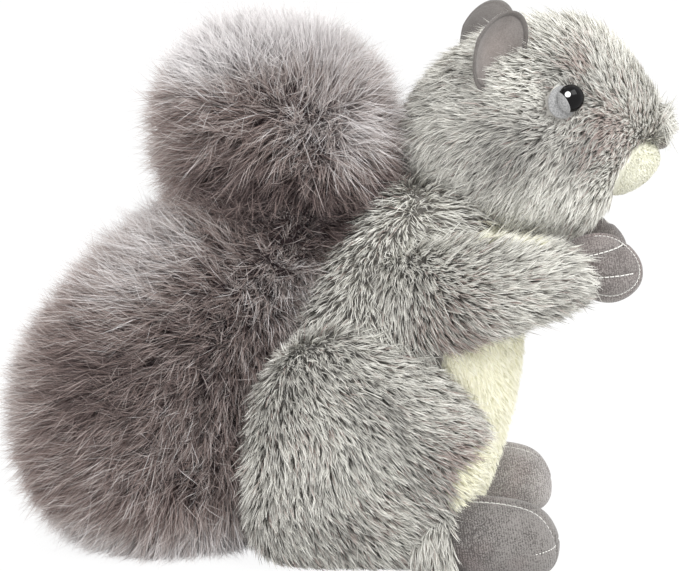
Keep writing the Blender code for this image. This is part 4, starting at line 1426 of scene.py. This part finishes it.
for side, sign in SIDES:
    node = side + "_paw"
    seam_y = sign * (PAW["out"] + PAW_SEAM["out"])
    slant = {"lean": PAW_SEAM["lean"] * sign, "level": paw_foot + 0.5 * PAW["height"]}
    fingers = [[(wrist + ahead, paw_foot + up) for ahead, up in ends] for ends in FINGERS]
    grooves = [line_groove(*finger, deep=1.5 * MM, wide=1.4 * MM) for finger in fingers]
    grooves.append(plane_groove(seam_y, deep=1.0 * MM, **slant))
    sew(node, grooves, grey_suede)
    for number, finger in enumerate(fingers):
        line = sunk(face_line(forms[node], *finger, sign), 1.1 * MM)
        stitches(f"{node}_stitch_{number}", line, gap=0.4 * MM, radius=0.30 * MM)
    line = sunk(section(forms[node], seam_y, wrist + PAW_SEAM["from"], **slant), 0.75 * MM)
    stitches(node + "_seam", line, length=1.6 * MM, gap=0.2 * MM)

    node = side + "_foot"
    top_seam = FOOT_SEAM[side]
    grooves = [plane_groove(top_seam, deep=1.5 * MM, wide=1.3 * MM), line_groove(*TOE, deep=0.7 * MM)]
    sew(node, grooves, foot_suede[side])
    line = sunk(section(forms[node], top_seam, FOOT_SEAM_FROM), 1.2 * MM)
    stitches(node + "_seam", line, length=2.4 * MM, gap=0.15 * MM)
    stitches(node + "_toe", sunk(face_line(forms[node], *TOE, sign), 0.5 * MM), length=0.9 * MM)

# %% [markdown]
# An ear is two leaves of suede sewn round the edge and cupped. The sewn rim stands up like piping, with
# the seam's groove just inside it.

# %% Ears
EAR = {"width": 0.027, "height": 0.038, "thick": 3.0 * MM, "cup": 0.0065, "narrows": 0.28}
EAR_AHEAD, EAR_OUTWARD, EAR_TILT = math.radians(29), math.radians(10), math.radians(24)
EAR_AT = {"along": 0.336, "out": 0.755, "up": 0.882}
RIM_FROM, RIM_FULL, LEAF_SHARE = 0.89, 0.95, 0.78
RIM_GROOVE = {"at": 0.88, "wide": 0.02, "deep": 0.3 * MM}


def ear_surface(name, place, axes):
    """The cupped leaf: a disc drawn in at its foot, with its middle pushed back and its rim thickened."""
    share = np.concatenate([np.linspace(0.03, 0.97, 30), [1.0], np.linspace(0.97, 0.03, 30)])
    face = np.concatenate([np.ones(30), [0.0], -np.ones(30)])
    angle = np.arange(72) / 72 * math.tau
    r = share[:, None] + 0 * angle
    x, y = r * np.cos(angle), r * np.sin(angle)
    z = -EAR["cup"] * (1 - r**2)
    x = x * (1 - EAR["narrows"] * np.maximum(0, -y)) * EAR["width"] / 2
    y = y * EAR["height"] / 2
    thickness = mixed(LEAF_SHARE, 1, step(r, RIM_FROM, RIM_FULL)) * np.sqrt(np.maximum(1 - r**12, 0))
    half = EAR["thick"] / 2 * thickness
    half -= RIM_GROOVE["deep"] * np.exp(-(((r - RIM_GROOVE["at"]) / RIM_GROOVE["wide"]) ** 2))
    rings = np.stack([x, y, z + face[:, None] * half], -1)
    made = closed_rings(name, rings @ axes.T + place)
    # From 0 in the middle of the back, through 0.5 at the rim, to 1 in the middle of the front.
    leaf = 0.5 + 0.5 * (1 - r) * face[:, None]
    values = np.concatenate([leaf.ravel(), leaf[[0, -1], 0]])
    made.data.attributes.new("leaf", "FLOAT", "POINT").data.foreach_set("value", values)
    return made


# The ear's colour runs from the back over the sewn rim to the paler inside, with painted shade in the seam's
# groove just inside the rim.
ear_suede = Finish("ear_suede_cloth", Roughness=0.9, Specular_IOR_Level=0.2, Sheen_Weight=0.2)
where = ear_suede.places()
stroked = ear_suede.noise(where, 90.0, 3.0, 0.6)
fine = ear_suede.noise(where, FINE_SCALE, 2.0, 0.6)
leaf = ear_suede.node("ShaderNodeAttribute", {"attribute_name": "leaf"}, {}, "Fac")
leaf_stops = stops(
    (0.0, (120, 116, 114)),
    (0.5, (122, 118, 115)),
    (0.545, (120, 116, 113)),
    (0.56, (100, 96, 94)),
    # Painted shade: a dark line in the seam's groove.
    (0.58, (140, 135, 132)),
    (1.0, (166, 158, 154)),
)
base = ear_suede.ramp(leaf, leaf_stops, smooth=False)
wear = (stroked * 0.5 + fine * 0.5).clamped()
worn = ear_suede.ramp(wear, [(0.3, (0.66, 0.64, 0.63)), (0.7, (1.0, 1.0, 1.0))])
ear_suede.set("Base Color", ear_suede.mix(1.0, base, worn, "MULTIPLY"))
ear_suede.bump(fine * 0.6 + stroked * 0.4, 0.3 * MM, 0.7)

for side, sign in SIDES:
    ahead_axis = np.array((math.sin(EAR_AHEAD), sign * math.cos(EAR_AHEAD), 0)) * math.cos(EAR_OUTWARD)
    leaf_axes = facing_axes(ahead_axis - (0, 0, math.sin(EAR_OUTWARD)))
    leaf_axes = head_axes @ leaf_axes @ np.array(Matrix.Rotation(sign * EAR_TILT, 3, "Z"))
    along = nape + EAR_AT["along"] * HEAD["length"]
    out = sign * EAR_AT["out"] * HEAD["width"] / 2
    ear_place = neck + head_axes @ np.array((along, out, EAR_AT["up"] * HEAD["height"]))
    made = ear_surface(side + "_ear_leaf", ear_place, leaf_axes)
    dress(made, ear_suede.material, side + "_ear")
    print(side, "ear at", ear_place.round(4))

# %% [markdown]
# The dome is dyed through and polished. The white fleck on it is a painted reflection: a catchlight of the
# lamp painted into the dome's colour, on both eyes.

# %% Eyes, felt, nose and washers
SHANK = {"radius": 2.3 * MM, "hollow": 0.3 * MM, "length": 9 * MM}
EDGE = 0.3 * MM
RIM_IN = 0.8 * MM
FELT_ROUND = 0.4 * MM
# Where the painted reflection of the lamp sits on each dome, its radius and how sharp its edge is.
CATCHLIGHT = {"back": 3.6 * MM, "up": 1.9 * MM, "out": 3.9 * MM, "radius": 1.35 * MM, "sharp": 12.0}
gloss = Finish("black_gloss_dome", Roughness=0.08, Specular_IOR_Level=0.16)
angles = np.radians(np.linspace(4, 90, 20))
dome_profile = [(EYE["radius"] * math.sin(angle), EYE["dome"] * math.cos(angle)) for angle in angles]
dome_profile += [(EYE["radius"], -EDGE), (EYE["radius"] - RIM_IN, -EYE["rim"])]
dome_profile += [(SHANK["radius"], -EYE["rim"]), (SHANK["radius"], -SHANK["length"])]
dome_profile += [(SHANK["hollow"], -SHANK["length"])]
back_ways = {side: eye_axes[side][:, 0] * (-np.sign(eye_axes[side][0, 0])) for side, _ in SIDES}
where = gloss.places()
catchlight_gaps = []
for side, _ in SIDES:
    out = eye_axes[side][:, 1] * CATCHLIGHT["up"] + eye_axes[side][:, 2] * CATCHLIGHT["out"]
    catchlight_place = tuple(eyes[side] + back_ways[side] * CATCHLIGHT["back"] + out)
    distance = {"operation": "DISTANCE"}
    catchlight_gaps.append(gloss.node("ShaderNodeVectorMath", distance, {0: where, 1: catchlight_place}, "Value"))
# Painted reflection: the dome is white inside the catchlight.
painted = ((1.0 - catchlight_gaps[0].lesser(catchlight_gaps[1]) / CATCHLIGHT["radius"]) * CATCHLIGHT["sharp"]).clamped()
gloss.set("Base Color", gloss.mix(painted, (*tint(14, 13, 14), 1), (0.92, 0.92, 0.92, 1)))

felt = Finish("grey_felt_disc", Roughness=0.95, Sheen_Weight=0.2)
felt_noise = felt.noise(felt.places(), FINE_SCALE, 3.0)
felt.set("Base Color", felt.ramp(felt_noise, stops((0.3, (132, 132, 132)), (0.7, (168, 168, 168)))))
felt.bump(felt_noise, 0.2 * MM, 0.6)
nylon = Finish("white_nylon_washer", Roughness=0.45)
nylon.set("Base Color", (*tint(222, 222, 216), 1))

half = FELT["thick"] / 2
felt_profile = [(SHANK["hollow"], half), (FELT["radius"] - FELT_ROUND, half), (FELT["radius"], 0)]
felt_profile += [(FELT["radius"] - FELT_ROUND, -half), (SHANK["hollow"], -half)]
for side, _ in SIDES:
    for node, profile, place, look, slot in (
        (side + "_eye", dome_profile, eyes[side], gloss, "black_gloss"),
        (side + "_eyelid_felt", felt_profile, felts[side], felt, "grey_felt"),
    ):
        dress(revolve(node + "_turned", profile, place, eye_axes[side], 48), look.material, node)
    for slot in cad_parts[side + "_eye_washer"].material_slots:
        slot.material = nylon.material

# The felt folds over the dome's lower back edge: the part of a slightly larger dome past a slanting plane.
FOLD = {"from": 4.1 * MM, "over": 0.45 * MM, "back": 0.90, "up": -0.435}
wide = EYE["radius"] + FOLD["over"]
along = np.linspace(FOLD["from"], 0.995 * wide, 16)[:, None]
ring = np.sqrt(1 - (along / wide) ** 2)
angle = np.arange(48) / 48 * math.tau
out = (EYE["dome"] + FOLD["over"]) * ring * np.sin(angle) * np.where(np.sin(angle) > 0, 1.0, 0.1)
rings = np.stack([along + 0 * out, wide * ring * np.cos(angle), out], -1)
for side, _ in SIDES:
    out_axis = eye_axes[side][:, 2]
    toward = unit(FOLD["back"] * back_ways[side] + FOLD["up"] * eye_axes[side][:, 1])
    fold_axes = np.stack([toward, np.cross(out_axis, toward), out_axis], 1)
    made = closed_rings(side + "_felt_fold", rings @ fold_axes.T + eyes[side])
    dress(made, felt.material)

angles = np.radians(np.linspace(4, 176, 24))
nose_profile = [(math.sin(angle) / 2, math.cos(angle) / 2) for angle in angles]
nose_axes = head_axes @ np.diag((NOSE["depth"], NOSE["width"], NOSE["height"]))
nose_place = neck + head_axes @ np.array((nose_ahead, 0, NOSE["up"] * HEAD["height"]))
made = revolve("nose_cover", nose_profile, nose_place, nose_axes)
dress(made, grey_suede, "nose")
